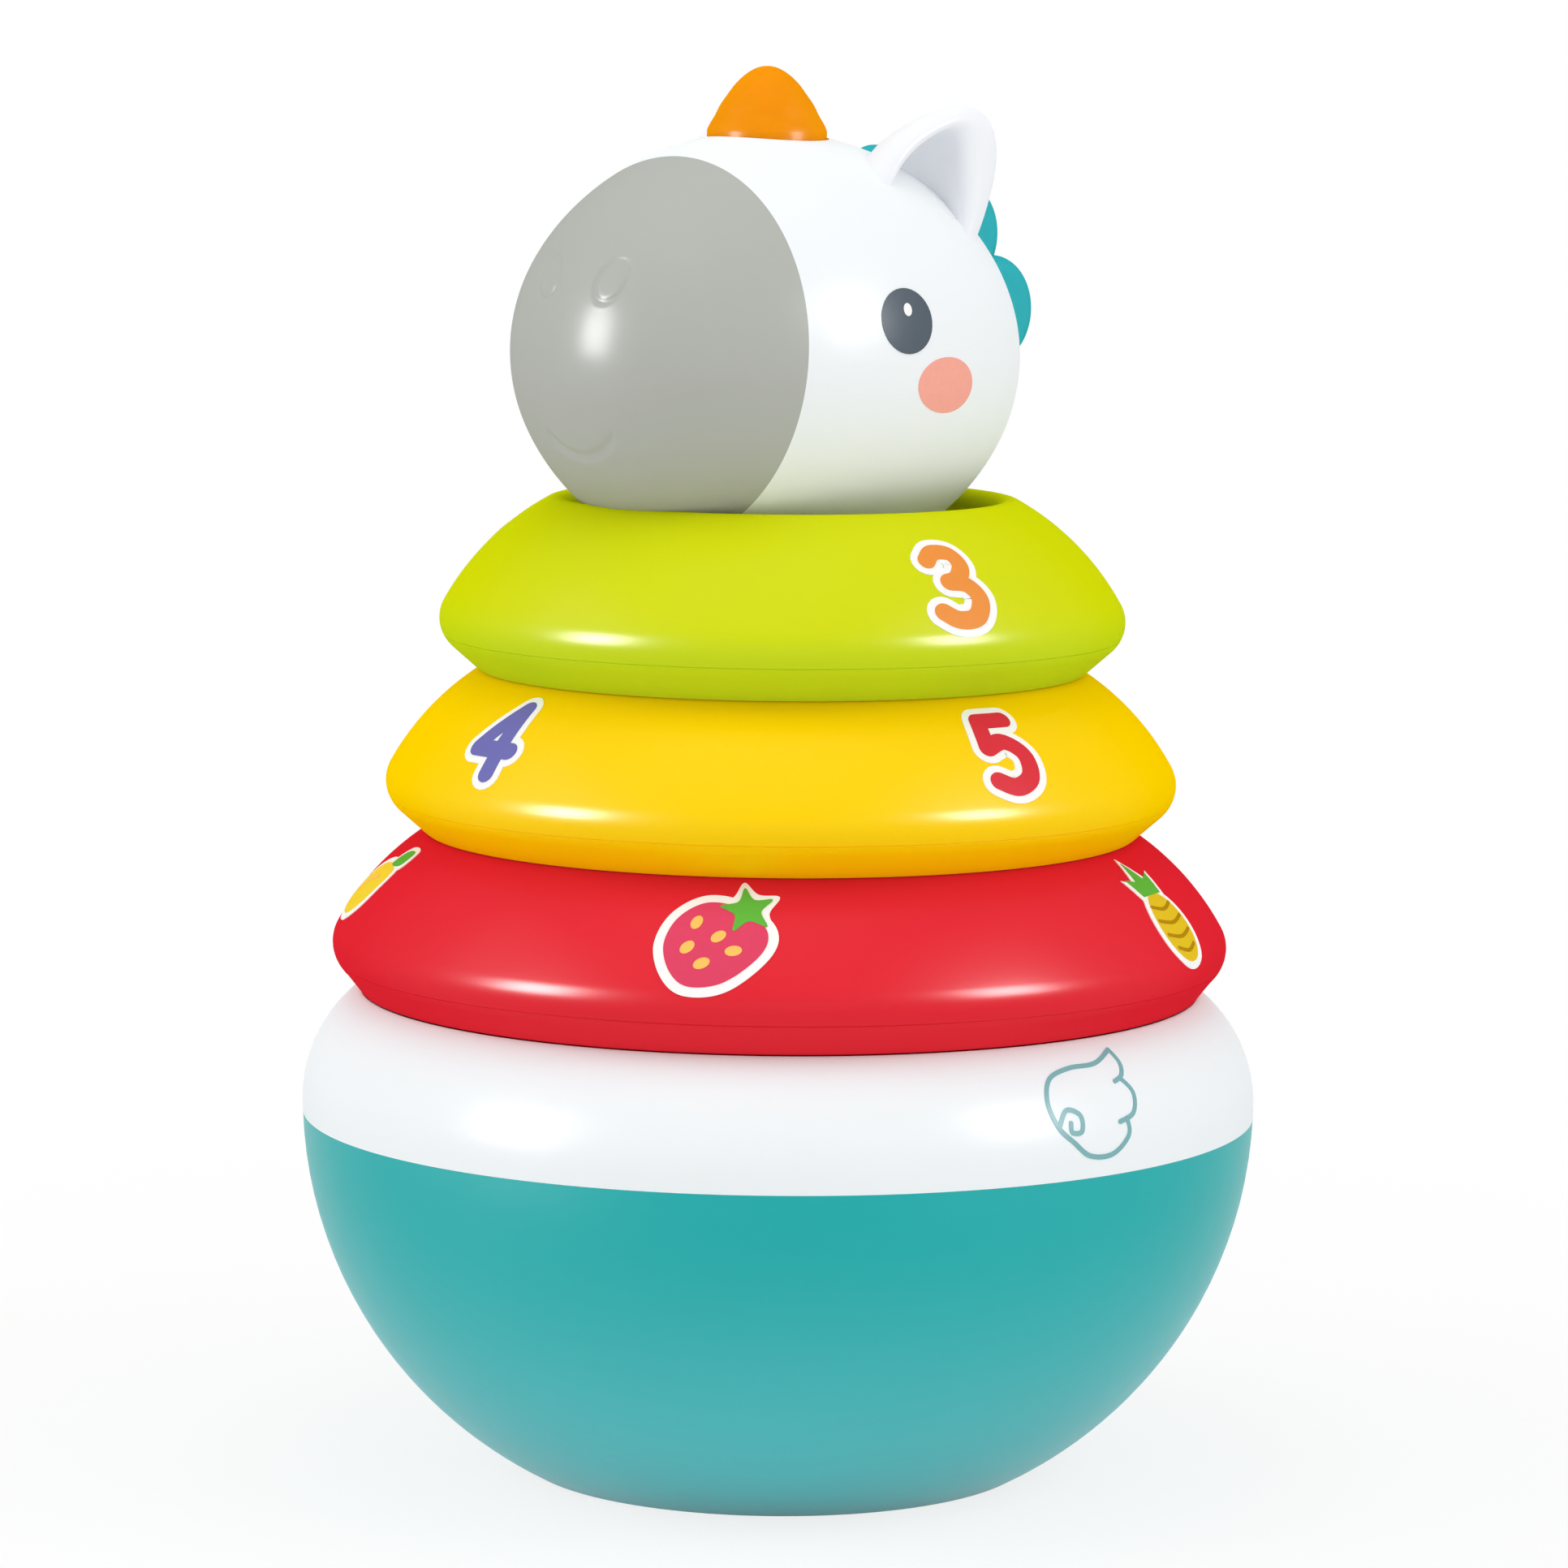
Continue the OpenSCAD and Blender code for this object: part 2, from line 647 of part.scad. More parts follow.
module horn() color("#f7921c") translate([0, horn_y, 0]) difference() {
    rotate_extrude() {
        polygon(concat(
            [[0, horn_flange_z], [horn_r, horn_flange_z]],
            [for (a = [0:6:90]) [horn_r * cos(a), horn_base_z + horn_h * sin(a) ^ 2]]
        ));
        translate([0, horn_flange_z]) square([horn_flange_r, horn_flange_t]);
    }
    difference() {
        union() {
            translate([0, 0, horn_flange_z - 1])
                cylinder(r = horn_bore_r, h = horn_base_z - horn_flange_z + 1);
            translate([0, 0, horn_base_z])
                cylinder(r1 = horn_bore_r, r2 = horn_bore_r / 3, h = 0.55 * horn_h);
        }
        translate([0, 0, plunger_top_z]) cylinder(r = plunger_r, h = far);
    }
}

module switch_plunger() color("#3a3d42") translate([0, horn_y, 0])
    translate([0, 0, plunger_top_z - 2 * plunger_h]) cylinder(r = plunger_r, h = 2 * plunger_h);

module push_switch() color("#3a3d42") translate([0, horn_y, board_top_z]) difference() {
    translate([-switch_w / 2, -switch_w / 2, 0]) cube([switch_w, switch_w, switch_h]);
    translate([0, 0, switch_h - plunger_h - horn_travel - rest_gap])
        cylinder(r = plunger_r + rest_gap, h = far);
}

module led() color("#ffe9b0") translate([led_x, horn_y, board_top_z]) {
    cylinder(r = led_r, h = led_h - led_r);
    translate([0, 0, led_h - led_r]) sphere(led_r);
}

module circuit_board() color("#2f7d4f")
    translate([0, horn_y, board_z]) cylinder(r = board_r, h = board_t);

// Two wires that climb the mast from the contacts to the board
module battery_wires() color("#c0392b") {
    translate([wire_x, horn_y, plug_z + door_t + contact_t])
        cylinder(r = wire_r, h = board_z - plug_z - door_t - contact_t);
    translate([return_wire_x, horn_y, bay_top_z]) cylinder(r = wire_r, h = board_z - bay_top_z);
}

module neck_plug() color("#e9eaee") difference() {
    union() {
        translate([0, 0, plug_z]) cylinder(r = plug_r, h = neck_flange_z - plug_z);
        intersection() {
            translate([0, 0, neck_flange_z]) cylinder(r = far, h = plug_wall);
            translate([0, 0, neck_flange_z]) cylinder(r = plug_r + 2 * plug_wall, h = plug_wall);
            head_solid(head_wall + fit_gap);
        }
        translate([0, horn_y, neck_flange_z]) cylinder(r = mast_r, h = board_z - neck_flange_z);
    }
    difference() {
        translate([0, 0, plug_z - 1]) cylinder(r = bay_r, h = bay_h + 1);
        translate([door_screw_x, 0, plug_z + door_t])
            cylinder(r = screw_head_r, h = far);
    }
    translate([0, horn_y, bay_top_z + plug_wall])
        cylinder(r = mast_r - mast_wall, h = far);
    for (x = [wire_x, return_wire_x])
        translate([x, horn_y, bay_top_z - 1]) cylinder(r = wire_r + fit_gap, h = far);
    translate([door_screw_x, 0, plug_z]) cylinder(r = screw_r, h = bay_h + plug_wall);
}

// Spring contacts above and below the coin cell
module battery_contacts() color("#c9b26a") {
    translate([cell_x, horn_y / 2, bay_top_z - contact_t]) cylinder(r = cell_r * 0.7, h = contact_t);
    translate([cell_x, horn_y - wire_r - 1, plug_z + door_t])
        cube([wire_x + wire_r - cell_x, 2 * wire_r + 2, contact_t]);
}

module coin_cell() color("#c4c8cc")
    translate([cell_x, 0, plug_z + door_t + contact_t]) cylinder(r = cell_r, h = cell_h);

module battery_door() color("#e9eaee") difference() {
    translate([0, 0, plug_z]) cylinder(r = bay_r - fit_gap, h = door_t);
    translate([door_screw_x, 0, plug_z - 1]) cylinder(r = screw_r + fit_gap, h = door_t + 2);
    translate([door_screw_x, 0, plug_z - 1]) cylinder(r = screw_head_r + fit_gap, h = screw_head_h + 1);
}

module door_screw() color("#b9bec4")
    translate([door_screw_x, 0, plug_z + screw_head_h])
        screw(bay_h - screw_head_h + plug_wall / 2);

base_bowl();
base_top();
base_screws();
post();
post_screws();
red_ring_top();
red_ring_bottom();
yellow_ring_top();
yellow_ring_bottom();
lime_ring_top();
lime_ring_bottom();
head_shell();
muzzle();
left_ear();
right_ear();
mane();
horn();
switch_plunger();
push_switch();
led();
circuit_board();
battery_wires();
neck_plug();
battery_contacts();
coin_cell();
battery_door();
door_screw();
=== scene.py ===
"""Looks of a plastic stacking toy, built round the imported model.

A bowl base carries a centre post, three lift-off rings and a unicorn head with a horn that is a
button. The turned shells, the horn, the ears, the printed face and the stickers are modelled here.
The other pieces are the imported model's own solids in better materials. Sizes are in millimetres and
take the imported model's frame: Z up from the flat foot, with the unicorn looking along -Y.
"""

import logging
import math
from collections.abc import Callable, Iterable, Sequence
from dataclasses import dataclass, field
from enum import Enum
from functools import partial

import bmesh
import bpy
from mathutils import Matrix, Vector


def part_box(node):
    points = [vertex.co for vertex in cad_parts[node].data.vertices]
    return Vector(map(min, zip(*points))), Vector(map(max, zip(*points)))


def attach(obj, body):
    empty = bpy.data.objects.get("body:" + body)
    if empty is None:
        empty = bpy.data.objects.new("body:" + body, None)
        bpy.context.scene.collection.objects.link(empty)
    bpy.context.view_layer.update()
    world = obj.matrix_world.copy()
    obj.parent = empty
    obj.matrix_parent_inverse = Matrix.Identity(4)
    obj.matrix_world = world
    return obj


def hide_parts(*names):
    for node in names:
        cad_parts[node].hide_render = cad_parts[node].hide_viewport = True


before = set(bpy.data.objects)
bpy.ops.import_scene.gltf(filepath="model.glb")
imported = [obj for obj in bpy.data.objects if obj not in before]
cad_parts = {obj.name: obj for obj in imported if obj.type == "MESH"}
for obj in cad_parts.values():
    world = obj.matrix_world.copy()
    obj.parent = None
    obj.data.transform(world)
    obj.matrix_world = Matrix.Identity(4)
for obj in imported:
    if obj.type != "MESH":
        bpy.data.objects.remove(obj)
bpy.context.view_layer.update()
MM = 0.001
LOG = logging.getLogger("stacking_toy")

Point = tuple[float, float]
Feed = bpy.types.NodeSocket | float | tuple[float, float, float, float]


class Body(Enum):
    """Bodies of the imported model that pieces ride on."""

    BASE = "base"
    RED_RING = "red_ring"
    YELLOW_RING = "yellow_ring"
    LIME_RING = "lime_ring"
    HEAD = "head"
    HORN = "horn"


class Slot(Enum):
    """Material slots of the record."""

    TEAL = "teal_plastic"
    WHITE = "white_plastic"
    RED = "red_plastic"
    YELLOW = "yellow_plastic"
    LIME = "lime_plastic"
    GREY = "grey_plastic"
    HORN = "orange_clear"
    INNER = "inner_plastic"
    BLACK = "black_plastic"
    STEEL = "steel"
    CONTACT = "contact_metal"
    BOARD = "board"
    LAMP = "lamp"
    WIRE = "wire"


class Side(Enum):
    """The unicorn's two sides, as the sign of X."""

    LEFT = 1
    RIGHT = -1


def linear(code: str) -> tuple[float, float, float, float]:
    """Turn a screen colour into a linear one.

    Args:
        code: Six hex digits, red first.

    Returns:
        Linear red, green and blue, and an alpha of 1.
    """
    parts = [int(code[i : i + 2], 16) / 255 for i in (0, 2, 4)]
    red, green, blue = (c / 12.92 if c <= 0.04045 else ((c + 0.055) / 1.055) ** 2.4 for c in parts)
    return red, green, blue, 1.0


# Refraction of clear plastic
PLASTIC_IOR = 1.5
# Reach in metres of light that spreads under a translucent surface
SUBSURFACE_REACH = 0.004
# Facing values between which a piece's gloss fades towards its edge
EDGE_FADE = (0.3, 0.72)
# Places of the two colours and of their mix among a colour mix node's sockets
MIX_LOW = 6
MIX_HIGH = 7
MIX_RESULT = 2


def feed(tree: bpy.types.NodeTree, node: bpy.types.Node, inputs: dict[str | int, Feed]) -> None:
    """Give a node's inputs their values or links.

    Args:
        tree: Node tree that the node is in.
        node: The node.
        inputs: A value or another node's socket for each input, by name or number.
    """
    for name, given in inputs.items():
        if isinstance(given, bpy.types.NodeSocket):
            tree.links.new(given, node.inputs[name])
        else:
            node.inputs[name].default_value = given


def add_node(tree: bpy.types.NodeTree, kind: str, inputs: dict[str | int, Feed]) -> bpy.types.Node:
    """Add a shader node and feed its inputs.

    Args:
        tree: Node tree to add it to.
        kind: Type of the node, without the word ShaderNode.
        inputs: A value or another node's socket for each input, by name or number.

    Returns:
        The new node.
    """
    node = tree.nodes.new(f"ShaderNode{kind}")
    feed(tree, node, inputs)
    return node


def add_math(tree: bpy.types.NodeTree, operation: str, *values: Feed) -> bpy.types.NodeSocket:
    """Add a math node.

    Args:
        tree: Node tree to add it to.
        operation: What the node does.
        values: Its values or sockets, in order.

    Returns:
        The socket of the result.
    """
    node = tree.nodes.new("ShaderNodeMath")
    node.operation = operation
    feed(tree, node, dict(enumerate(values)))
    return node.outputs[0]


def add_smooth_step(
    tree: bpy.types.NodeTree, value: bpy.types.NodeSocket, span: Point, result: Point
) -> bpy.types.NodeSocket:
    """Add a smooth change from one value to another.

    Args:
        tree: Node tree to add it to.
        value: The socket that drives the change.
        span: Values of the driver where the change starts and ends.
        result: Values of the result there.

    Returns:
        The socket of the result.
    """
    node = add_node(tree, "MapRange", {"Value": value, "From Min": span[0], "From Max": span[1]})
    feed(tree, node, {"To Min": result[0], "To Max": result[1]})
    node.interpolation_type = "SMOOTHSTEP"
    return node.outputs["Result"]


class MouldedSurface:
    """Shader node group for moulded and printed surfaces: clouded colour, uneven gloss, pebbled skin.

    Attributes:
        NAME: Name of the group.
        VALUES: Names of its number inputs.
        HANDLED_SCALE: Scale of the unevenness in the gloss.
        CLOUD_DETAIL: Octaves of the clouding.
        HANDLED_DETAIL: Octaves of the unevenness.
        SKIN_DETAIL: Octaves of the skin.
    """

    NAME = "moulded_surface"
    VALUES = ("Cloud", "Cloud Scale", "Gloss", "Gloss Spread", "Skin Scale")
    HANDLED_SCALE = 140.0
    CLOUD_DETAIL = 3.0
    HANDLED_DETAIL = 4.0
    SKIN_DETAIL = 2.0

    @classmethod
    def tree(cls) -> bpy.types.NodeTree:
        """Return the group, built on first use."""
        return bpy.data.node_groups.get(cls.NAME) or cls._build()

    @classmethod
    def _build(cls) -> bpy.types.NodeTree:
        """Build the group.

        Returns:
            The new node group.
        """
        tree = bpy.data.node_groups.new(cls.NAME, "ShaderNodeTree")
        face = tree.interface
        face.new_socket("Colour", in_out="INPUT", socket_type="NodeSocketColor")
        for name in cls.VALUES:
            face.new_socket(name, in_out="INPUT", socket_type="NodeSocketFloat")
        face.new_socket("Colour", in_out="OUTPUT", socket_type="NodeSocketColor")
        for name in ("Roughness", "Skin"):
            face.new_socket(name, in_out="OUTPUT", socket_type="NodeSocketFloat")
        given = tree.nodes.new("NodeGroupInput").outputs
        place = tree.nodes.new("ShaderNodeTexCoord").outputs["Object"]

        def noise(scale: Feed, detail: float) -> bpy.types.NodeSocket:
            """Return the socket of a noise on Object coordinates."""
            made = add_node(tree, "TexNoise", {"Vector": place, "Scale": scale, "Detail": detail})
            return made.outputs["Fac"]

        def swing(value: Feed, amount: Feed, middle: Feed) -> bpy.types.NodeSocket:
            """Return the socket of middle + amount * (value - 0.5)."""
            return add_math(tree, "MULTIPLY_ADD", add_math(tree, "SUBTRACT", value, 0.5), amount, middle)

        cloud = noise(given["Cloud Scale"], cls.CLOUD_DETAIL)
        value = swing(cloud, given["Cloud"], 1.0)
        tone = add_node(tree, "HueSaturation", {"Color": given["Colour"], "Value": value})
        handled = noise(cls.HANDLED_SCALE, cls.HANDLED_DETAIL)
        results: dict[str | int, Feed] = {
            "Colour": tone.outputs["Color"],
            "Roughness": swing(handled, given["Gloss Spread"], given["Gloss"]),
            "Skin": noise(given["Skin Scale"], cls.SKIN_DETAIL),
        }
        feed(tree, tree.nodes.new("NodeGroupOutput"), results)
        return tree


@dataclass(frozen=True)
class Finish:
    """A material: one colour and the surface of the piece that has it.

    Attributes:
        name: Name of the material.
        slot: Record slot of the finish; not used.
        colour: Screen colour, six hex digits.
        roughness: Middle roughness.
        spread: How far the roughness swings.
        coat: Weight of the clear gloss on top.
        coat_roughness: Roughness of that gloss.
        metallic: Metallic value.
        transmission: Share of light that passes through.
        cloud: How far the colour's value swings.
        cloud_scale: Scale of that clouding.
        skin_scale: Scale of the pebbled skin.
        skin: Height of the skin in metres.
        specular: Strength of the surface's own reflection.
        subsurface: Share of light that spreads under the surface.
        edge_fade: Whether the gloss fades towards the edge of the piece.
    """

    name: str
    slot: Slot
    colour: str
    roughness: float = 0.32
    spread: float = 0.06
    coat: float = 0.16
    coat_roughness: float = 0.28
    metallic: float = 0.0
    transmission: float = 0.0
    cloud: float = 0.04
    cloud_scale: float = 40.0
    skin_scale: float = 700.0
    skin: float = 0.000003
    specular: float = 0.0
    subsurface: float = 0.0
    edge_fade: bool = True

    def base_colour(self, tree: bpy.types.NodeTree) -> bpy.types.NodeSocket | None:
        """Return a socket for a colour that changes over the piece; a plain finish has none."""
        return None

    def material(self) -> bpy.types.Material:
        """Return the material, built on first use.

        Returns:
            The material of this finish.
        """
        found = bpy.data.materials.get(self.name)
        if found:
            return found
        made = bpy.data.materials.new(self.name)
        made.use_nodes = True
        made.diffuse_color = linear(self.colour)
        tree = made.node_tree
        surface = tree.nodes.new("ShaderNodeGroup")
        surface.node_tree = MouldedSurface.tree()
        surface_inputs: dict[str | int, Feed] = {
            "Colour": linear(self.colour),
            "Cloud": self.cloud,
            "Cloud Scale": self.cloud_scale,
            "Gloss": self.roughness,
            "Gloss Spread": self.spread,
            "Skin Scale": self.skin_scale,
        }
        feed(tree, surface, surface_inputs)
        changing = self.base_colour(tree)
        if changing:
            feed(tree, surface, {"Colour": changing})
        skin = add_node(
            tree, "Bump", {"Strength": 1.0, "Distance": self.skin, "Height": surface.outputs["Skin"]}
        )
        shader = tree.nodes["Principled BSDF"]
        shader_inputs: dict[str | int, Feed] = {
            "Base Color": surface.outputs["Colour"],
            "Roughness": surface.outputs["Roughness"],
            "Normal": skin.outputs["Normal"],
            "Metallic": self.metallic,
            "IOR": PLASTIC_IOR,
            "Coat Weight": self.coat,
            "Coat Roughness": self.coat_roughness,
            "Transmission Weight": self.transmission,
            "Specular IOR Level": self.specular,
            "Subsurface Weight": self.subsurface,
            "Subsurface Scale": SUBSURFACE_REACH,
        }
        feed(tree, shader, shader_inputs)
        if self.edge_fade:
            facing = add_node(tree, "LayerWeight", {"Blend": 0.5}).outputs["Facing"]
            gloss = add_smooth_step(tree, facing, EDGE_FADE, (self.coat, 0.0))
            feed(tree, shader, {"Coat Weight": gloss})
        return made


@dataclass(frozen=True)
class PaintedLightFinish(Finish):
    """A finish whose colour changes with height, painting in light and shade that fall unevenly up a piece.

    Attributes:
        low_colour: Screen colour at the low end, painted to stand in for the light there.
        low_z: Height of the low end in millimetres.
        high_z: Height of the high end in millimetres.
    """

    low_colour: str = "ffffff"
    low_z: float = 0.0
    high_z: float = 1.0

    def base_colour(self, tree: bpy.types.NodeTree) -> bpy.types.NodeSocket | None:
        """Grade the colour between the two heights.

        Args:
            tree: Node tree of the material.

        Returns:
            The graded colour's socket.
        """
        place = tree.nodes.new("ShaderNodeTexCoord").outputs["Object"]
        height = add_node(tree, "SeparateXYZ", {0: place}).outputs["Z"]
        share = add_smooth_step(tree, height, (self.low_z * MM, self.high_z * MM), (0.0, 1.0))
        grade = tree.nodes.new("ShaderNodeMix")
        grade.data_type = "RGBA"
        ends = {MIX_LOW: linear(self.low_colour), MIX_HIGH: linear(self.colour)}
        feed(tree, grade, {"Factor": share, **ends})
        return grade.outputs[MIX_RESULT]


# Painted light: the bowl is one teal all over; its low colour is painted lighter to offset the shade near
# the floor.
TEAL_BOWL = PaintedLightFinish(
    "teal_bowl",
    Slot.TEAL,
    "14aaaa",
    roughness=0.4,
    coat=0.14,
    specular=0.1,
    edge_fade=False,
    low_colour="5abec2",
    low_z=0.0,
    high_z=56.0,
)
TEAL = Finish("teal_mane", Slot.TEAL, "2fadb6", roughness=0.4, coat=0.14)
WHITE = Finish("white_shell", Slot.WHITE, "eff3f5", roughness=0.4, coat=0.06, cloud=0.015)
WHITE_POST = Finish("white_post", Slot.WHITE, "f0f2f5", roughness=0.42, coat=0.1, cloud=0.03)
WHITE_EAR = Finish("white_ear", Slot.WHITE, "f0f2f6", roughness=0.45, coat=0.06, cloud=0.015)
RED = Finish("red_ring_shell", Slot.RED, "e02532")
YELLOW = Finish("yellow_ring_shell", Slot.YELLOW, "fbcf00")
# Painted light: the ring is one lime all over; its lower part is painted greener to offset the yellow light
# reflected up from the ring below.
LIME = PaintedLightFinish(
    "lime_ring_shell", Slot.LIME, "d0d80a", low_colour="bdd81c", low_z=128.0, high_z=140.0
)
GREY = Finish(
    "grey_muzzle", Slot.GREY, "b0b2ac", roughness=0.36, coat=0.085, coat_roughness=0.27, cloud=0.03
)
HORN = Finish(
    "orange_horn",
    Slot.HORN,
    "ee9008",
    roughness=0.3,
    coat=0.06,
    subsurface=0.3,
    cloud=0.12,
    cloud_scale=160.0,
)
INNER = Finish("inner_plastic", Slot.INNER, "d6d8dd", roughness=0.48, coat=0.1)
BLACK = Finish("black_plastic", Slot.BLACK, "2b2d31", roughness=0.5, coat=0.0)
STEEL = Finish(
    "zinc_steel", Slot.STEEL, "bcc0c4", coat=0.0, metallic=1.0, cloud=0.12, edge_fade=False
)
CONTACT = Finish(
    "spring_strip",
    Slot.CONTACT,
    "c9b26b",
    roughness=0.3,
    coat=0.0,
    metallic=1.0,
    cloud=0.1,
    edge_fade=False,
)
BOARD = Finish(
    "solder_mask", Slot.BOARD, "1f6b40", roughness=0.35, coat=0.4, cloud=0.15, cloud_scale=400.0
)
LAMP = Finish("lamp_lens", Slot.LAMP, "ffeabf", roughness=0.15, transmission=0.6, cloud=0.03)
WIRE = Finish("wire_sleeve", Slot.WIRE, "bf2a22", roughness=0.45, coat=0.1, cloud=0.08)


def print_ink(name: str, slot: Slot, colour: str) -> Finish:
    """Return the finish of a flat print: satin, with a fine grain in the ink.

    Args:
        name: Name of the material.
        slot: Record slot that the ink belongs to.
        colour: Screen colour, six hex digits.

    Returns:
        The finish.
    """
    return Finish(
        name,
        slot,
        colour,
        roughness=0.45,
        coat=0.1,
        cloud=0.06,
        cloud_scale=900.0,
        skin_scale=1500.0,
        skin=0.000002,
    )


PAPER = print_ink("sticker_white", Slot.WHITE, "f7f6f4")
INK_ORANGE = print_ink("ink_orange", Slot.HORN, "ea9142")
INK_RED = print_ink("ink_red", Slot.RED, "d9343f")
INK_VIOLET = print_ink("ink_violet", Slot.BLACK, "706eb2")
INK_GREEN = print_ink("ink_green", Slot.LIME, "62b53f")
INK_BERRY = print_ink("ink_berry", Slot.RED, "dd4464")
INK_SEED = print_ink("ink_seed", Slot.YELLOW, "fbc262")
INK_GOLD = print_ink("ink_gold", Slot.YELLOW, "e2be25")
INK_BROWN = print_ink("ink_brown", Slot.YELLOW, "b3860f")
INK_LEMON = print_ink("ink_lemon", Slot.YELLOW, "f2d138")
INK_TEAL = print_ink("ink_teal", Slot.TEAL, "7fb0b4")
INK_SLATE = print_ink("ink_slate", Slot.BLACK, "545e68")
INK_SALMON = print_ink("ink_salmon", Slot.RED, "f5a898")


class Section:
    """Half outline of a turned piece, drawn in the X-Z plane and then spun about Z."""

    def __init__(self, x: float, z: float) -> None:
        """Start the outline.

        Args:
            x: Distance of the first point from the axis.
            z: Height of the first point.
        """
        self.mesh = bmesh.new()
        self.first = self.mesh.verts.new((x, 0.0, z))
        self.tip = self.first

    def line(self, *points: Point) -> "Section":
        """Draw straight lines.

        Args:
            points: The points to draw to, one after the other.

        Returns:
            This outline.
        """
        for x, z in points:
            self.tip = bmesh.ops.extrude_vert_indiv(self.mesh, verts=[self.tip])["verts"][0]
            self.tip.co = (x, 0.0, z)
        return self

    def arc(self, centre: Point, turn: float, steps: int) -> "Section":
        """Draw an arc about a centre.

        Args:
            centre: The arc's centre.
            turn: Angle in degrees, from X towards Z.
            steps: Number of edges.

        Returns:
            This outline.
        """
        spun = bmesh.ops.spin(
            self.mesh,
            geom=[self.tip],
            cent=(centre[0], 0.0, centre[1]),
            axis=(0.0, -1.0, 0.0),
            angle=math.radians(turn),
            steps=steps,
        )
        self.tip = next(part for part in spun["geom_last"] if isinstance(part, bmesh.types.BMVert))
        return self

    def close(self) -> "Section":
        """Join the last point to the first."""
        self.mesh.edges.new((self.tip, self.first))
        return self

    def turned(self, segments: int = 160) -> bmesh.types.BMesh:
        """Spin the outline round the axis.

        Args:
            segments: Number of steps round.

        Returns:
            The closed, turned mesh, in millimetres.
        """
        bmesh.ops.spin(
            self.mesh,
            geom=self.mesh.verts[:] + self.mesh.edges[:],
            cent=(0.0, 0.0, 0.0),
            axis=(0.0, 0.0, 1.0),
            angle=math.tau,
            steps=segments,
            use_merge=True,
        )
        bmesh.ops.remove_doubles(self.mesh, verts=self.mesh.verts, dist=1e-4)
        bmesh.ops.recalc_face_normals(self.mesh, faces=self.mesh.faces)
        return self.mesh


def add_piece(
    name: str,
    mesh: bmesh.types.BMesh,
    finishes: Sequence[Finish],
    body: Body,
    replaces: Sequence[str] = (),
    crease: float = 32.0,
) -> bpy.types.Object:
    """Make a piece of the toy from a mesh in millimetres.

    Args:
        name: Name of the piece.
        mesh: Its mesh, which is used up.
        finishes: Its finishes, in the order of the faces' material numbers.
        body: Body that it rides on.
        replaces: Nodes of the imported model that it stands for.
        crease: Angle in degrees over which an edge is sharp.

    Returns:
        The new object.
    """
    bmesh.ops.scale(mesh, vec=(MM, MM, MM), verts=mesh.verts)
    data = bpy.data.meshes.new(name)
    mesh.to_mesh(data)
    mesh.free()
    data.shade_smooth()
    data.set_sharp_from_angle(angle=math.radians(crease))
    for finish in finishes:
        data.materials.append(finish.material())
    piece = bpy.data.objects.new(name, data)
    bpy.context.scene.collection.objects.link(piece)
    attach(piece, body.value)
    if replaces:
        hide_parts(*replaces)
    LOG.info("%s rides on %s: %d faces", name, body.value, len(data.polygons))
    return piece


def dress(nodes: Iterable[str], finish: Finish) -> None:
    """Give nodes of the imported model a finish.

    Args:
        nodes: Names of the nodes.
        finish: The finish.
    """
    for name in nodes:
        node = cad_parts[name]
        for slot in node.material_slots:
            slot.material = finish.material()
        LOG.info("%s wears %s", name, finish.name)


def smooth_path(points: Sequence[Point], steps: int = 8, closed: bool = False) -> list[Vector]:
    """Draw a smooth line through points.

    Args:
        points: Points to pass through.
        steps: Steps from each point to the next.
        closed: Whether the line comes back to its start.

    Returns:
        Points along the line; a closed one doesn't repeat its start.
    """
    knots = [Vector((x, y, 0.0)) for x, y in points]
    count = len(knots)
    spans = count if closed else count - 1
    line: list[Vector] = []
    for i in range(spans):
        if closed:
            a, b, c, d = (knots[(i + k) % count] for k in (-1, 0, 1, 2))
        else:
            a, b, c, d = (knots[min(max(i + k, 0), count - 1)] for k in (-1, 0, 1, 2))
        for k in range(steps):
            t = k / steps
            line.append(
                b
                + 0.5 * t * (c - a)
                + t * t * (a - 2.5 * b + 2 * c - 0.5 * d)
                + t ** 3 * (1.5 * (b - c) + 0.5 * (d - a))
            )
    if not closed:
        line.append(knots[-1])
    return line


# Centre of a ring's crowned flank and radius of its edge, from the middle of the edge
RING_FLANK_C: Point = (-36.93, -17.55)
RING_EDGE_R = 5.5
# Centre and radius of the base's shoulder
SHOULDER_C: Point = (54.0, 58.5)
SHOULDER_R = 21.0
# Radius of the head's side curve, and the distance of its centre beyond the head's axis
HEAD_SIDE_R = 53.37
HEAD_SIDE_C = 18.87
# Radii of the centre post at its foot and at its top
POST_RADII: Point = (23.0, 20.2)
# Middle of the head: distance in front of the post, height over its top, and nod in degrees
HEAD_FORWARD = 3.8
HEAD_RISE = 28.2
HEAD_NOD = 3.3
HEAD_CENTRE = Vector((0.0, -HEAD_FORWARD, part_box("post")[1].z / MM + HEAD_RISE))
HEAD_FRAME = Matrix.Translation(HEAD_CENTRE) @ Matrix.Rotation(math.radians(90.0 - HEAD_NOD), 4, "X")


class Ground:
    """A surface that flat prints are laid on; s runs to the right, t up and h out of it."""

    def place(self, s: float, t: float, h: float) -> Vector:
        """Return the point of the toy under a point of the flat print."""
        raise NotImplementedError


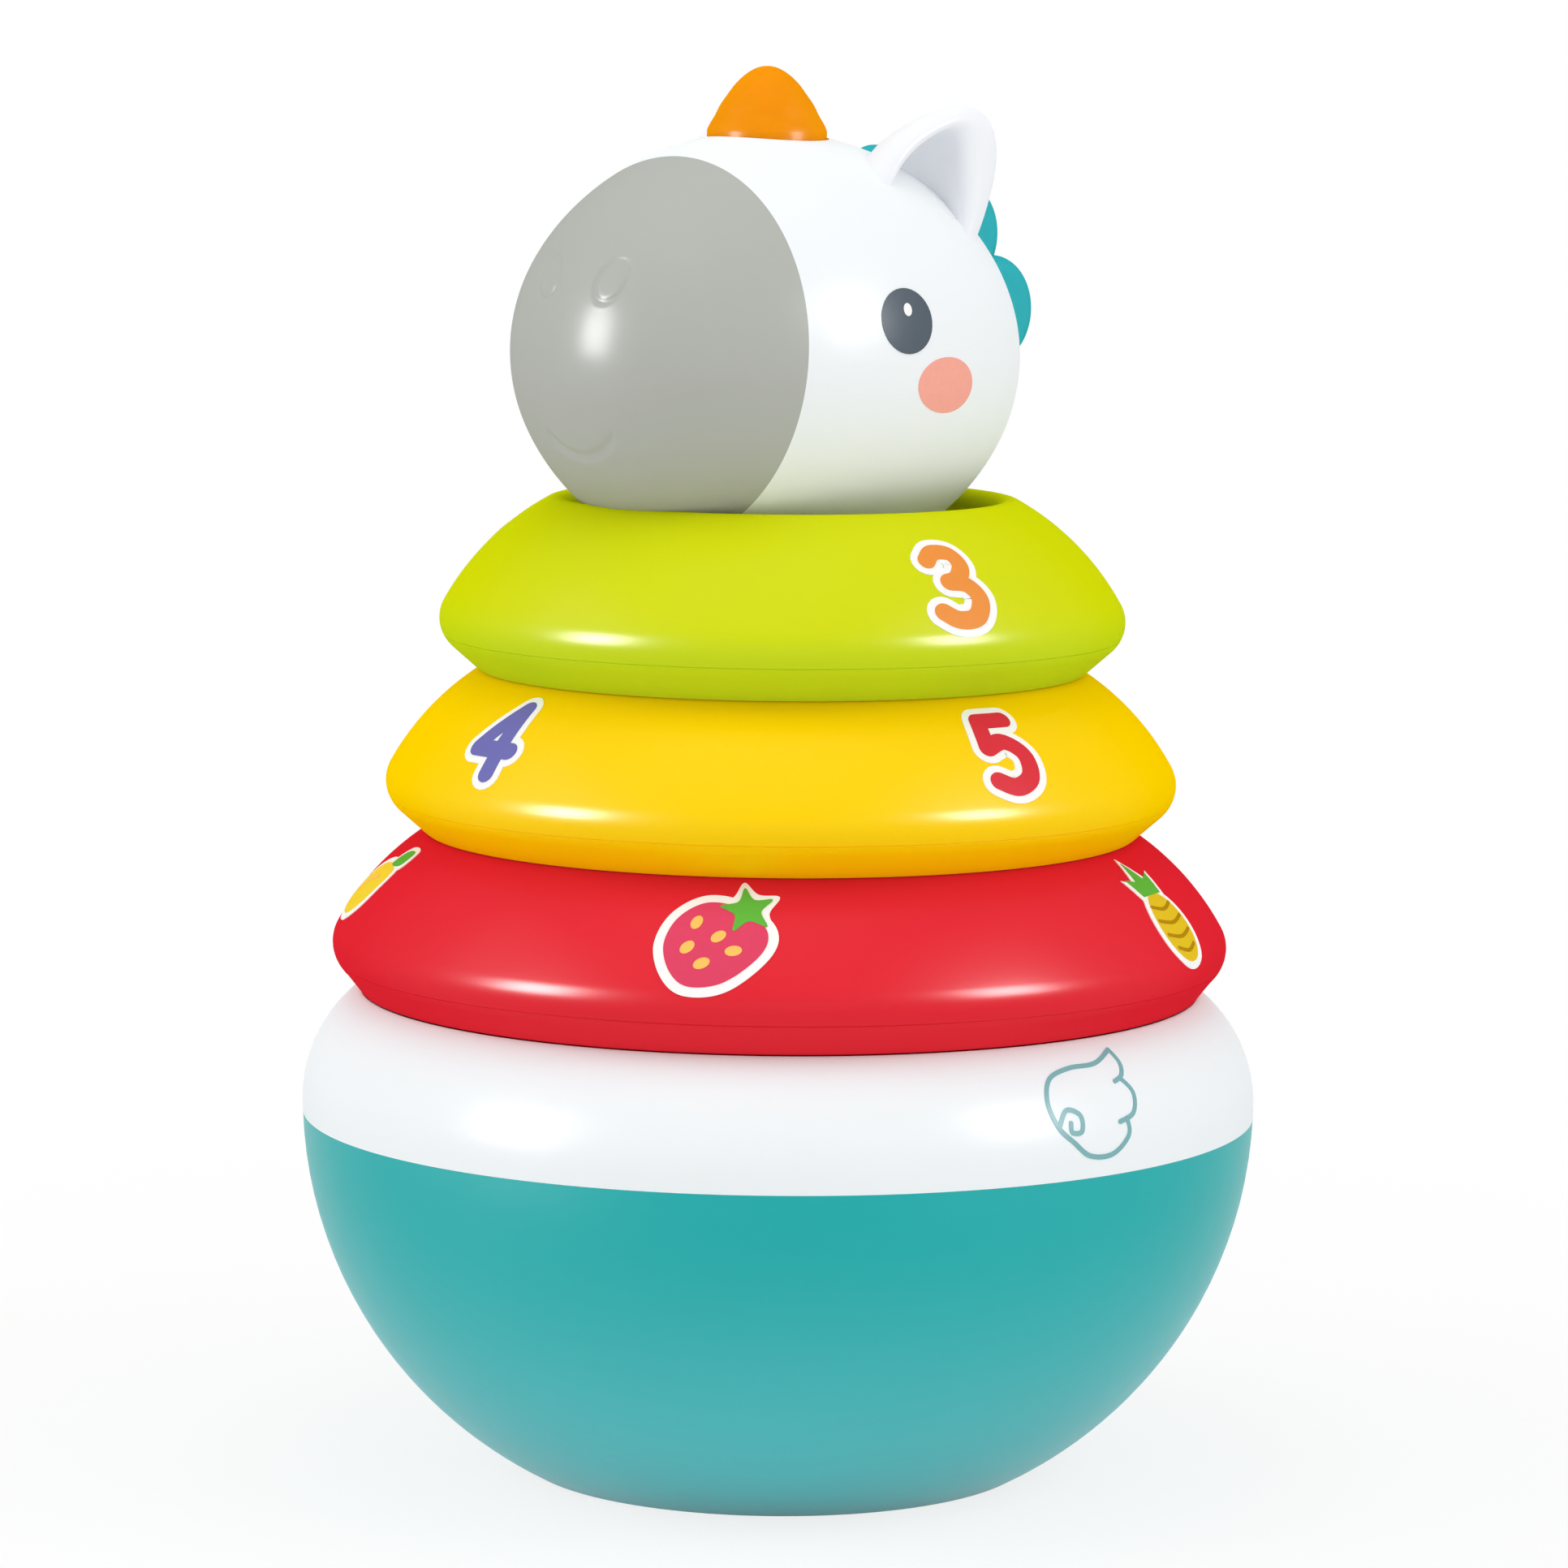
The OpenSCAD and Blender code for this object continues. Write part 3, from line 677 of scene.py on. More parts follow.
@dataclass(frozen=True)
class RingFlank(Ground):
    """The crowned flank of a ring, with the rounded edge below it.

    Attributes:
        radius: Radius of the ring's edge.
        edge_z: Height of the edge's middle.
        azimuth: Direction of the print in degrees, from -Y towards +X.
        up: Distance of the print's middle above the end of the flank.
        flank_r: Radius of the flank's curve.
        flank_c: Centre of that curve, from the middle of the edge.
        edge_r: Radius of the rounded edge.
        edge_angle: Direction in degrees in which the flank meets the edge.
    """

    radius: float
    edge_z: float
    azimuth: float
    up: float
    flank_r: float = 41.5
    flank_c: Point = RING_FLANK_C
    edge_r: float = RING_EDGE_R
    edge_angle: float = 29.2

    def place(self, s: float, t: float, h: float) -> Vector:
        """Lay a point on the flank, or on the edge where it is lower.

        Args:
            s: Distance to the right.
            t: Distance up.
            h: Distance out.

        Returns:
            The point in the toy's frame.
        """
        along = t + self.up
        bend = self.flank_r if along >= 0 else self.edge_r
        centre = self.flank_c if along >= 0 else (-self.edge_r, 0.0)
        meeting = math.radians(self.edge_angle)
        angle = meeting + along / bend
        out = self.radius + centre[0] + (bend + h) * math.cos(angle)
        height = self.edge_z + centre[1] + (bend + h) * math.sin(angle)
        middle = self.radius + self.flank_c[0] + self.flank_r * math.cos(meeting + self.up / self.flank_r)
        turn = math.radians(self.azimuth) + s / middle
        return Vector((out * math.sin(turn), -out * math.cos(turn), height))


@dataclass(frozen=True)
class Shoulder(Ground):
    """The rounded white shoulder of the base.

    Attributes:
        side: Side of the toy.
        azimuth: Direction of the print in degrees, from -Y towards that side.
        angle: Direction of the print's middle above the widest line, in degrees.
        shoulder_r: Radius of the shoulder.
        shoulder_c: Its centre.
    """

    side: Side
    azimuth: float
    angle: float
    shoulder_r: float = SHOULDER_R
    shoulder_c: Point = SHOULDER_C

    def place(self, s: float, t: float, h: float) -> Vector:
        """Lay a point on the shoulder.

        Args:
            s: Distance to the right on the left side, and to the left on the other.
            t: Distance up.
            h: Distance out.

        Returns:
            The point in the toy's frame.
        """
        centre_r, centre_z = self.shoulder_c
        rise = math.radians(self.angle) + t / self.shoulder_r
        out = centre_r + (self.shoulder_r + h) * math.cos(rise)
        height = centre_z + (self.shoulder_r + h) * math.sin(rise)
        middle = centre_r + self.shoulder_r * math.cos(math.radians(self.angle))
        turn = math.radians(self.azimuth) + s / middle
        return Vector((self.side.value * out * math.sin(turn), -out * math.cos(turn), height))


@dataclass(frozen=True)
class HeadSide(Ground):
    """The side of the head's oval.

    Attributes:
        side: Side of the head.
        along: Distance of the print's middle in front of the head's centre.
        around: Direction of the print's middle above the head's axis, in degrees.
        side_r: Radius of the side's curve.
        side_c: Distance of its centre beyond the head's axis.
    """

    side: Side
    along: float
    around: float
    side_r: float = HEAD_SIDE_R
    side_c: float = HEAD_SIDE_C

    def place(self, s: float, t: float, h: float) -> Vector:
        """Lay a point on the head.

        Args:
            s: Distance towards the back of the head.
            t: Distance up.
            h: Distance out.

        Returns:
            The point in the toy's frame.
        """
        front = self.along - s
        radius = math.sqrt(self.side_r**2 - front**2) - self.side_c
        turn = math.radians(self.around) + t / radius
        reach = self.side.value * (radius + h) * math.cos(turn)
        return HEAD_FRAME @ Vector((reach, (radius + h) * math.sin(turn), front))


def face_outward(mesh: bmesh.types.BMesh) -> None:
    """Turn a closed mesh inside out where its volume is negative."""
    if mesh.calc_volume(signed=True) < 0:
        bmesh.ops.reverse_faces(mesh, faces=mesh.faces)


class Print:
    """A flat print or sticker in thin layers, drawn flat and then laid on a surface.

    Attributes:
        CUT_STEP: Largest step between the cuts that let a layer bend.
        CUT_DIST: Distance within which a cut takes a corner as its own.
        ROOT: Depth to which a layer reaches under the surface.
        CAP_ANGLES: Directions in degrees of the points round a stroke's end.
        DISC_SEGMENTS: Number of edges round an ellipse.
    """

    CUT_STEP = 1.4
    CUT_DIST = 1e-5
    ROOT = 0.08
    CAP_ANGLES = (88, 70, 50, 30, 12)
    DISC_SEGMENTS = 40

    def __init__(self) -> None:
        """Start an empty print."""
        self.mesh = bmesh.new()
        self.finishes: list[Finish] = []

    def _add(self, sheet: bmesh.types.BMesh, finish: Finish, height: float) -> None:
        """Thicken a flat sheet, cut it fine enough to bend, and add it as a layer.

        Args:
            sheet: The flat sheet, which is used up.
            finish: Its finish.
            height: Height of its top.
        """
        if finish not in self.finishes:
            self.finishes.append(finish)
        corners = [v.co for v in sheet.verts]
        for axis in (0, 1):
            low, high = min(c[axis] for c in corners), max(c[axis] for c in corners)
            cuts = int((high - low) / self.CUT_STEP)
            for i in range(1, cuts + 1):
                spot = Vector((0.0, 0.0, 0.0))
                spot[axis] = low + (high - low) * i / (cuts + 1)
                normal = Vector((0.0, 0.0, 0.0))
                normal[axis] = 1.0
                bmesh.ops.bisect_plane(
                    sheet,
                    geom=sheet.verts[:] + sheet.edges[:] + sheet.faces[:],
                    dist=self.CUT_DIST,
                    plane_co=spot,
                    plane_no=normal,
                )
        bmesh.ops.triangulate(sheet, faces=[f for f in sheet.faces if len(f.verts) > 4])
        raised = bmesh.ops.extrude_face_region(sheet, geom=sheet.faces[:], use_keep_orig=True)
        top = [part for part in raised["geom"] if isinstance(part, bmesh.types.BMVert)]
        bmesh.ops.translate(sheet, vec=(0.0, 0.0, -self.ROOT), verts=sheet.verts)
        bmesh.ops.translate(sheet, vec=(0.0, 0.0, height + self.ROOT), verts=top)
        bmesh.ops.recalc_face_normals(sheet, faces=sheet.faces)
        face_outward(sheet)
        for face in sheet.faces:
            face.material_index = self.finishes.index(finish)
        layer = bpy.data.meshes.new("layer")
        sheet.to_mesh(layer)
        sheet.free()
        self.mesh.from_mesh(layer)
        bpy.data.meshes.remove(layer)

    def patch(
        self, points: Sequence[Point], finish: Finish, height: float, round_off: bool = True
    ) -> "Print":
        """Add a filled shape.

        Args:
            points: Points round its outline.
            finish: Its finish.
            height: Height of its top.
            round_off: Whether the outline is a smooth line through the points.

        Returns:
            This print.
        """
        sheet = bmesh.new()
        line = smooth_path(points, closed=True) if round_off else [Vector((x, y, 0.0)) for x, y in points]
        sheet.faces.new([sheet.verts.new(p) for p in line])
        bmesh.ops.recalc_face_normals(sheet, faces=sheet.faces)
        self._add(sheet, finish, height)
        return self

    def paper(self, points: Sequence[Point], margin: float, round_off: bool = True) -> "Print":
        """Add the white paper that shows round a shape."""
        return self.patch(grown(points, margin), PAPER, PAPER_TOP, round_off)

    def disc(
        self, centre: Point, radii: Point, finish: Finish, height: float, turn: float = 0.0
    ) -> "Print":
        """Add a filled ellipse.

        Args:
            centre: Its middle.
            radii: Its two half widths.
            finish: Its finish.
            height: Height of its top.
            turn: Angle in degrees by which it is turned.

        Returns:
            This print.
        """
        sheet = bmesh.new()
        bmesh.ops.create_circle(sheet, cap_ends=True, segments=self.DISC_SEGMENTS, radius=1.0)
        place = (
            Matrix.Translation((centre[0], centre[1], 0.0))
            @ Matrix.Rotation(math.radians(turn), 4, "Z")
            @ Matrix.Diagonal((radii[0], radii[1], 1.0, 1.0))
        )
        bmesh.ops.transform(sheet, matrix=place, verts=sheet.verts)
        self._add(sheet, finish, height)
        return self

    def stroke(self, points: Sequence[Point], width: float, finish: Finish, height: float) -> "Print":
        """Add a pen stroke with round ends.

        Args:
            points: Points that its middle passes through.
            width: Its width.
            finish: Its finish.
            height: Height of its top.

        Returns:
            This print.
        """
        line = smooth_path(points)
        half = width / 2
        lead, tail = (line[0] - line[1]).normalized(), (line[-1] - line[-2]).normalized()
        caps = [math.radians(a) for a in self.CAP_ANGLES]
        rows = [(line[0] + lead * half * math.sin(a), half * math.cos(a)) for a in caps]
        rows += [(p, half) for p in line]
        rows += [(line[-1] + tail * half * math.sin(a), half * math.cos(a)) for a in reversed(caps)]
        sheet = bmesh.new()
        left: bmesh.types.BMVert | None = None
        edge: bmesh.types.BMEdge | None = None
        for i, (spot, reach) in enumerate(rows):
            ahead = rows[min(i + 1, len(rows) - 1)][0] - rows[max(i - 1, 0)][0]
            across = Vector((-ahead.y, ahead.x, 0.0)).normalized() * reach
            if edge is None:
                left = sheet.verts.new(spot + across)
                edge = sheet.edges.new((left, sheet.verts.new(spot - across)))
                continue
            start = left.co.copy()
            grown_parts = bmesh.ops.extrude_edge_only(sheet, edges=[edge])["geom"]
            edge = next(part for part in grown_parts if isinstance(part, bmesh.types.BMEdge))
            left = min(edge.verts, key=lambda vert: (vert.co - start).length)
            right = edge.other_vert(left)
            left.co = spot + across
            right.co = spot - across
        bmesh.ops.recalc_face_normals(sheet, faces=sheet.faces)
        self._add(sheet, finish, height)
        return self

    def lay(self, ground: Ground) -> "Print":
        """Lay the print on a surface.

        Args:
            ground: The surface.

        Returns:
            This print.
        """
        for vert in self.mesh.verts:
            vert.co = ground.place(*vert.co)
        face_outward(self.mesh)
        return self

    def make(self, name: str, body: Body) -> bpy.types.Object:
        """Make the print a piece that rides on a body."""
        return add_piece(name, self.mesh, self.finishes, body)


# Heights of a sticker's layers over the surface
PAPER_TOP = 0.12
INK_TOP = 0.19
DIGIT_TOP = 0.2
LEAF_TOP = 0.22
MARK_TOP = 0.23
CAP_TOP = 0.24
# Heights of a print's ink and of the glint on it
PRINT_TOP = 0.1
GLINT_TOP = 0.14
# Widths of a number's stroke and of the paper under it
DIGIT_WIDTH = 3.0
DIGIT_PAPER_WIDTH = 5.4
DIGITS: dict[int, list[list[Point]]] = {
    1: [[(-3.0, 3.2), (-1.2, 4.6), (0.4, 6.2)], [(0.6, 6.2), (0.6, 0.0), (0.6, -6.2)]],
    2: [
        [(-3.2, 3.6), (-1.6, 6.0), (1.8, 5.8), (2.8, 3.0), (0.4, -1.8), (-3.0, -5.8)],
        [(-3.0, -5.9), (3.4, -5.9)],
    ],
    3: [
        [(-3.2, 4.6), (-1.4, 6.2), (1.6, 5.8), (2.6, 3.4), (1.0, 1.0), (-0.8, 0.4)],
        [(-0.8, 0.4), (2.0, -0.2), (3.4, -2.8), (1.8, -5.8), (-1.2, -6.2), (-3.4, -4.8)],
    ],
    4: [
        [(1.4, 6.2), (-1.4, 2.0), (-3.6, -1.8)],
        [(-3.6, -2.0), (3.8, -2.0)],
        [(1.5, 6.2), (1.5, 0.0), (1.5, -6.2)],
    ],
    5: [
        [(3.0, 6.0), (-2.0, 6.0)],
        [(-2.2, 6.0), (-2.6, 3.4), (-2.9, 0.8)],
        [(-2.9, 0.8), (0.4, 1.8), (3.2, -0.8), (2.6, -4.6), (-0.4, -6.2), (-3.2, -5.0)],
    ],
    6: [
        [(2.4, 5.9), (-0.8, 4.4), (-3.0, 0.4), (-2.9, -3.8), (0.0, -6.2)]
        + [(3.0, -4.0), (2.4, -0.8), (-0.4, 0.2), (-2.8, -1.8)],
    ],
    7: [[(-3.2, 5.9), (3.0, 5.9)], [(3.0, 5.8), (0.8, 0.6), (-0.8, -6.2)]],
}


def number_sticker(digit: int, ink: Finish) -> Print:
    """Draw a plain number on a white sticker of its own outline.

    Args:
        digit: The number.
        ink: Its finish.

    Returns:
        The flat print.
    """
    drawn = Print()
    for line in DIGITS[digit]:
        drawn.stroke(line, DIGIT_PAPER_WIDTH, PAPER, PAPER_TOP)
    for line in DIGITS[digit]:
        drawn.stroke(line, DIGIT_WIDTH, ink, DIGIT_TOP)
    return drawn


def star(points: int, outer: float, inner: float, centre: Point, turn: float) -> list[Point]:
    """Return the corners of a star.

    Args:
        points: Number of points.
        outer: Radius of the points.
        inner: Radius of the hollows.
        centre: Its middle.
        turn: Angle of the first point in degrees.

    Returns:
        Corners round the outline.
    """
    corners = []
    for i in range(2 * points):
        reach = inner if i % 2 else outer
        angle = math.radians(turn + 180 * i / points)
        corners.append((centre[0] + reach * math.cos(angle), centre[1] + reach * math.sin(angle)))
    return corners


def grown(points: Sequence[Point], by: float) -> list[Point]:
    """Push an outline's points out from their middle.

    Args:
        points: Points round the outline.
        by: Distance to push each one.

    Returns:
        The pushed points.
    """
    mid = (sum(p[0] for p in points) / len(points), sum(p[1] for p in points) / len(points))
    pushed = []
    for x, y in points:
        reach = math.hypot(x - mid[0], y - mid[1])
        factor = (reach + by) / reach
        pushed.append((mid[0] + (x - mid[0]) * factor, mid[1] + (y - mid[1]) * factor))
    return pushed


def shrunk(points: Sequence[Point], scale: float, middle: Point) -> list[Point]:
    """Scale an outline's points towards a middle."""
    return [(middle[0] + scale * (x - middle[0]), middle[1] + scale * (y - middle[1])) for x, y in points]


def strawberry() -> Print:
    """Draw a strawberry with a leaf cap and seeds.

    Returns:
        The flat print.
    """
    body = [(-6.6, 3.4), (-2.6, 6.4), (2.6, 5.6), (7.0, 1.8), (6.6, -2.4)]
    body += [(1.6, -7.2), (-3.4, -8.2), (-6.4, -6.0), (-8.0, -1.4)]
    leaf = star(5, 4.4, 2.2, (4.0, 5.2), 100)
    seeds = [(-3.6, 2.6, 70), (0.0, 0.2, 40), (2.4, -2.2, 10), (-4.4, -1.8, 50), (-2.0, -4.4, 30)]
    drawn = Print().paper(body, 1.5).paper(leaf, 1.3)
    drawn.patch(body, INK_BERRY, INK_TOP).patch(leaf, INK_GREEN, CAP_TOP)
    for x, y, turn in seeds:
        drawn.disc((x, y), (1.25, 0.85), INK_SEED, CAP_TOP, turn)
    return drawn


def pineapple() -> Print:
    """Draw a pineapple with a tuft of leaves and scored rows.

    Returns:
        The flat print.
    """
    tuft = [(-3.2, 2.6), (-4.6, 6.2), (-1.8, 5.4), (-0.6, 9.4), (1.4, 5.6), (4.2, 6.6), (3.2, 2.6)]
    middle = (0.0, -3.2)
    drawn = Print().disc(middle, (5.9, 7.4), PAPER, PAPER_TOP).paper(tuft, 1.2, False)
    drawn.disc(middle, (4.7, 6.2), INK_GOLD, INK_TOP).patch(tuft, INK_GREEN, LEAF_TOP, False)
    for y, reach in ((0.6, 3.4), (-1.9, 4.0), (-4.4, 3.8), (-6.8, 2.8)):
        drawn.stroke([(-reach, y), (0.0, y - 0.8), (reach, y)], 0.6, INK_BROWN, MARK_TOP)
    return drawn


def lemon() -> Print:
    """Draw a lemon with one leaf.

    Returns:
        The flat print.
    """
    body = [(-8.0, -3.4), (-5.4, -5.6), (0.0, -5.6), (5.0, -2.6)]
    body += [(7.6, 2.8), (6.0, 4.6), (0.6, 4.8), (-4.6, 2.2)]
    leaf = [(3.2, 5.0), (5.0, 8.0), (8.6, 8.4), (8.0, 5.4)]
    drawn = Print().paper(body, 1.3).paper(leaf, 1.2)
    drawn.patch(body, INK_LEMON, INK_TOP).patch(leaf, INK_GREEN, LEAF_TOP)
    return drawn.stroke([(-4.4, -1.8), (-1.2, 0.8), (2.6, 2.0)], 0.8, INK_SEED, MARK_TOP)


def grapes() -> Print:
    """Draw a bunch of grapes with a leaf.

    Returns:
        The flat print.
    """
    berries = [(-4.2, 2.4), (0.0, 2.8), (4.2, 2.4), (-2.1, -1.2), (2.1, -1.2), (0.0, -4.8)]
    berry_r, paper_r = 2.4, 3.7
    first_top, top_step, leaf_top = 0.18, 0.012, 0.26
    leaf = [(-3.4, 6.6), (0.0, 8.8), (3.6, 6.8), (0.2, 5.2)]
    drawn = Print()
    for spot in berries:
        drawn.disc(spot, (paper_r, paper_r), PAPER, PAPER_TOP)
    drawn.paper(leaf, 1.2)
    for i, spot in enumerate(berries):
        drawn.disc(spot, (berry_r, berry_r), INK_VIOLET, first_top + top_step * i)
    return drawn.patch(leaf, INK_GREEN, leaf_top)


def apple() -> Print:
    """Draw a green apple with a stalk.

    Returns:
        The flat print.
    """
    right = [(3.6, 5.0), (6.6, 2.4), (6.4, -2.4), (3.4, -6.4)]
    left = [(-x, y) for x, y in reversed(right)]
    body = [(0.0, 3.6), *right, (0.0, -5.8), *left]
    leaf = [(0.8, 5.2), (2.2, 8.0), (5.4, 8.2), (4.2, 5.8)]
    drawn = Print().paper(body, 1.4).paper(leaf, 1.1)
    drawn.patch(body, INK_GREEN, INK_TOP).stroke([(0.0, 3.2), (-0.4, 6.4)], 0.9, INK_BROWN, CAP_TOP)
    return drawn.patch(leaf, INK_GREEN, LEAF_TOP).disc((-3.4, 1.4), (0.8, 1.6), INK_SEED, MARK_TOP, -20)


def wing() -> Print:
    """Draw the outline of a small wing with three feathers and a curl.

    Returns:
        The flat print.
    """
    pen = 0.75
    drawn = Print()
    for line in (
        [(-4.8, -5.6), (-7.4, -3.0), (-8.4, 1.0), (-6.6, 4.6), (-2.0, 6.0), (3.6, 6.2), (8.4, 8.2)],
        [(8.4, 8.2), (9.0, 5.6), (8.0, 3.6), (6.0, 2.8)],
        [(7.4, 3.2), (9.0, 0.6), (7.8, -2.4), (4.6, -3.4)],
        [(6.2, -3.0), (6.0, -5.6), (2.4, -8.0), (-2.0, -7.8), (-4.8, -5.6)],
        [(-7.2, -3.0), (-5.4, -0.6), (-3.0, -1.6), (-3.2, -4.0), (-5.0, -4.0), (-5.0, -2.6)],
    ):
        drawn.stroke(line, pen, INK_TEAL, PRINT_TOP)
    return drawn


@dataclass
class Base:
    """The bowl with its white top and the centre post.

    Attributes:
        seam_z: Height of the seam between the bowl and the top.
        bowl_r: Largest radius of the base.
        bowl_c: Distance of the centre of the bowl's curve from the axis.
        shoulder_c: Centre of the shoulder's curve.
        shoulder_r: Its radius.
        wall: Thickness of the top.
        tongue_r: Outer radius of the tongue that reaches into the bowl.
        tongue_h: Height of the tongue.
        seat_round: Radius of the round at the edge of the seat.
        rim_w: Width of the rim round the seat.
        rim_bevel: Width and height of the bevel inside the rim.
        post_bore_r: Radius of the post's bore.
        post_radii: Radii of the post at its foot and at its top.
        post_edge_r: Radius of the round at its top.
        wing_azimuth: Direction of the wings in degrees, from -Y.
        wing_angle: Direction of the wings above the widest line, in degrees.
        seat: Radius and height of the seat that the lowest ring rests on.
        post_top_z: Height of the post's top.
    """

    seam_z: float = 56.5
    bowl_r: float = 75.0
    bowl_c: float = 8.61
    shoulder_c: Point = SHOULDER_C
    shoulder_r: float = SHOULDER_R
    wall: float = 2.6
    tongue_r: float = 72.0
    tongue_h: float = 4.0
    seat_round: float = 0.5
    rim_w: float = 0.35
    rim_bevel: Point = (0.12, 0.1)
    post_bore_r: float = 17.9
    post_radii: Point = POST_RADII
    post_edge_r: float = 1.0
    wing_azimuth: float = 83.3
    wing_angle: float = 25.0
    seat: Point = field(init=False)
    post_top_z: float = field(init=False)

    def __post_init__(self) -> None:
        """Take the seat and the post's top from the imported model."""
        low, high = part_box("post")
        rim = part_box("base_top")[1].z / MM
        across = math.sqrt(self.shoulder_r**2 - (rim - self.shoulder_c[1]) ** 2)
        self.seat = (self.shoulder_c[0] + across, low.z / MM)
        self.post_top_z = high.z / MM

    def top_shell(self) -> bpy.types.Object:
        """Turn the white top: seat, rim, shoulder, seam, tongue and ceiling.

        Returns:
            The piece.
        """
        seat_r, seat_z = self.seat
        centre_r, equator_z = self.shoulder_c
        rim = math.acos((seat_r + self.rim_w - centre_r) / self.shoulder_r)
        rim_r = centre_r + self.shoulder_r * math.cos(rim)
        rim_z = equator_z + self.shoulder_r * math.sin(rim)
        bevel_w, bevel_h = self.rim_bevel
        drop = math.degrees(math.asin((equator_z - self.seam_z) / (self.bowl_r - self.bowl_c)))
        tongue_in = self.tongue_r - self.wall / 2
        tongue_z = self.seam_z - self.tongue_h
        step_z = self.seam_z + self.wall
        ceiling = seat_z - self.wall
        inner = self.shoulder_r - self.wall
        low = math.degrees(math.asin((step_z - equator_z) / inner))
        high = math.degrees(math.asin((ceiling - equator_z) / inner))
        section = Section(0.0, seat_z).line((seat_r - self.seat_round, seat_z))
        section.arc((seat_r - self.seat_round, seat_z + self.seat_round), 90, 5)
        section.tip.co = (seat_r, 0.0, seat_z + self.seat_round)
        section.line((seat_r, rim_z - bevel_h), (seat_r + bevel_w, rim_z + bevel_h / 2), (rim_r, rim_z))
        section.arc(self.shoulder_c, -math.degrees(rim), 40)
        section.arc((self.bowl_c, equator_z), -drop, 2)
        section.line((self.tongue_r, self.seam_z), (self.tongue_r, tongue_z))
        section.line((tongue_in, tongue_z), (tongue_in, step_z))
        section.line((centre_r + inner * math.cos(math.radians(low)), step_z))
        section.arc(self.shoulder_c, high - low, 16)
        section.line((0.0, ceiling))
        return add_piece("base_top_shell", section.turned(192), [WHITE], Body.BASE, ["base_top"])

    def post(self) -> bpy.types.Object:
        """Turn the hollow centre post with a rounded top edge.

        Returns:
            The piece.
        """
        low_r, high_r = self.post_radii
        edge = self.post_edge_r
        top = self.post_top_z
        mouth_r = self.post_bore_r + edge / 2
        foot = self.seat[1]
        section = Section(self.post_bore_r, foot).line((low_r, foot), (high_r, top - edge))
        section.arc((high_r - edge, top - edge), 90, 6)
        section.line((mouth_r, top)).arc((mouth_r, top - edge / 2), 90, 4)
        return add_piece("centre_post", section.close().turned(96), [WHITE_POST], Body.BASE, ["post"])

    def wings(self) -> None:
        """Print a wing on both flanks."""
        for side in Side:
            ground = Shoulder(side, self.wing_azimuth, self.wing_angle)
            wing().lay(ground).make(f"wing_print_{side.name.lower()}", Body.BASE)

    def build(self) -> None:
        """Build the base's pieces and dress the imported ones."""
        dress(["base_bowl"], TEAL_BOWL)
        dress(["base_screws", "post_screws"], STEEL)
        self.top_shell()
        self.post()
        self.wings()


@dataclass(frozen=True)
class Sticker:
    """A sticker and its place on a ring.

    Attributes:
        name: End of the piece's name.
        draw: Function that draws it flat.
        azimuth: Its direction in degrees, from -Y towards +X.
        up: Distance of its middle above the end of the ring's flank.
    """

    name: str
    draw: Callable[[], Print]
    azimuth: float
    up: float


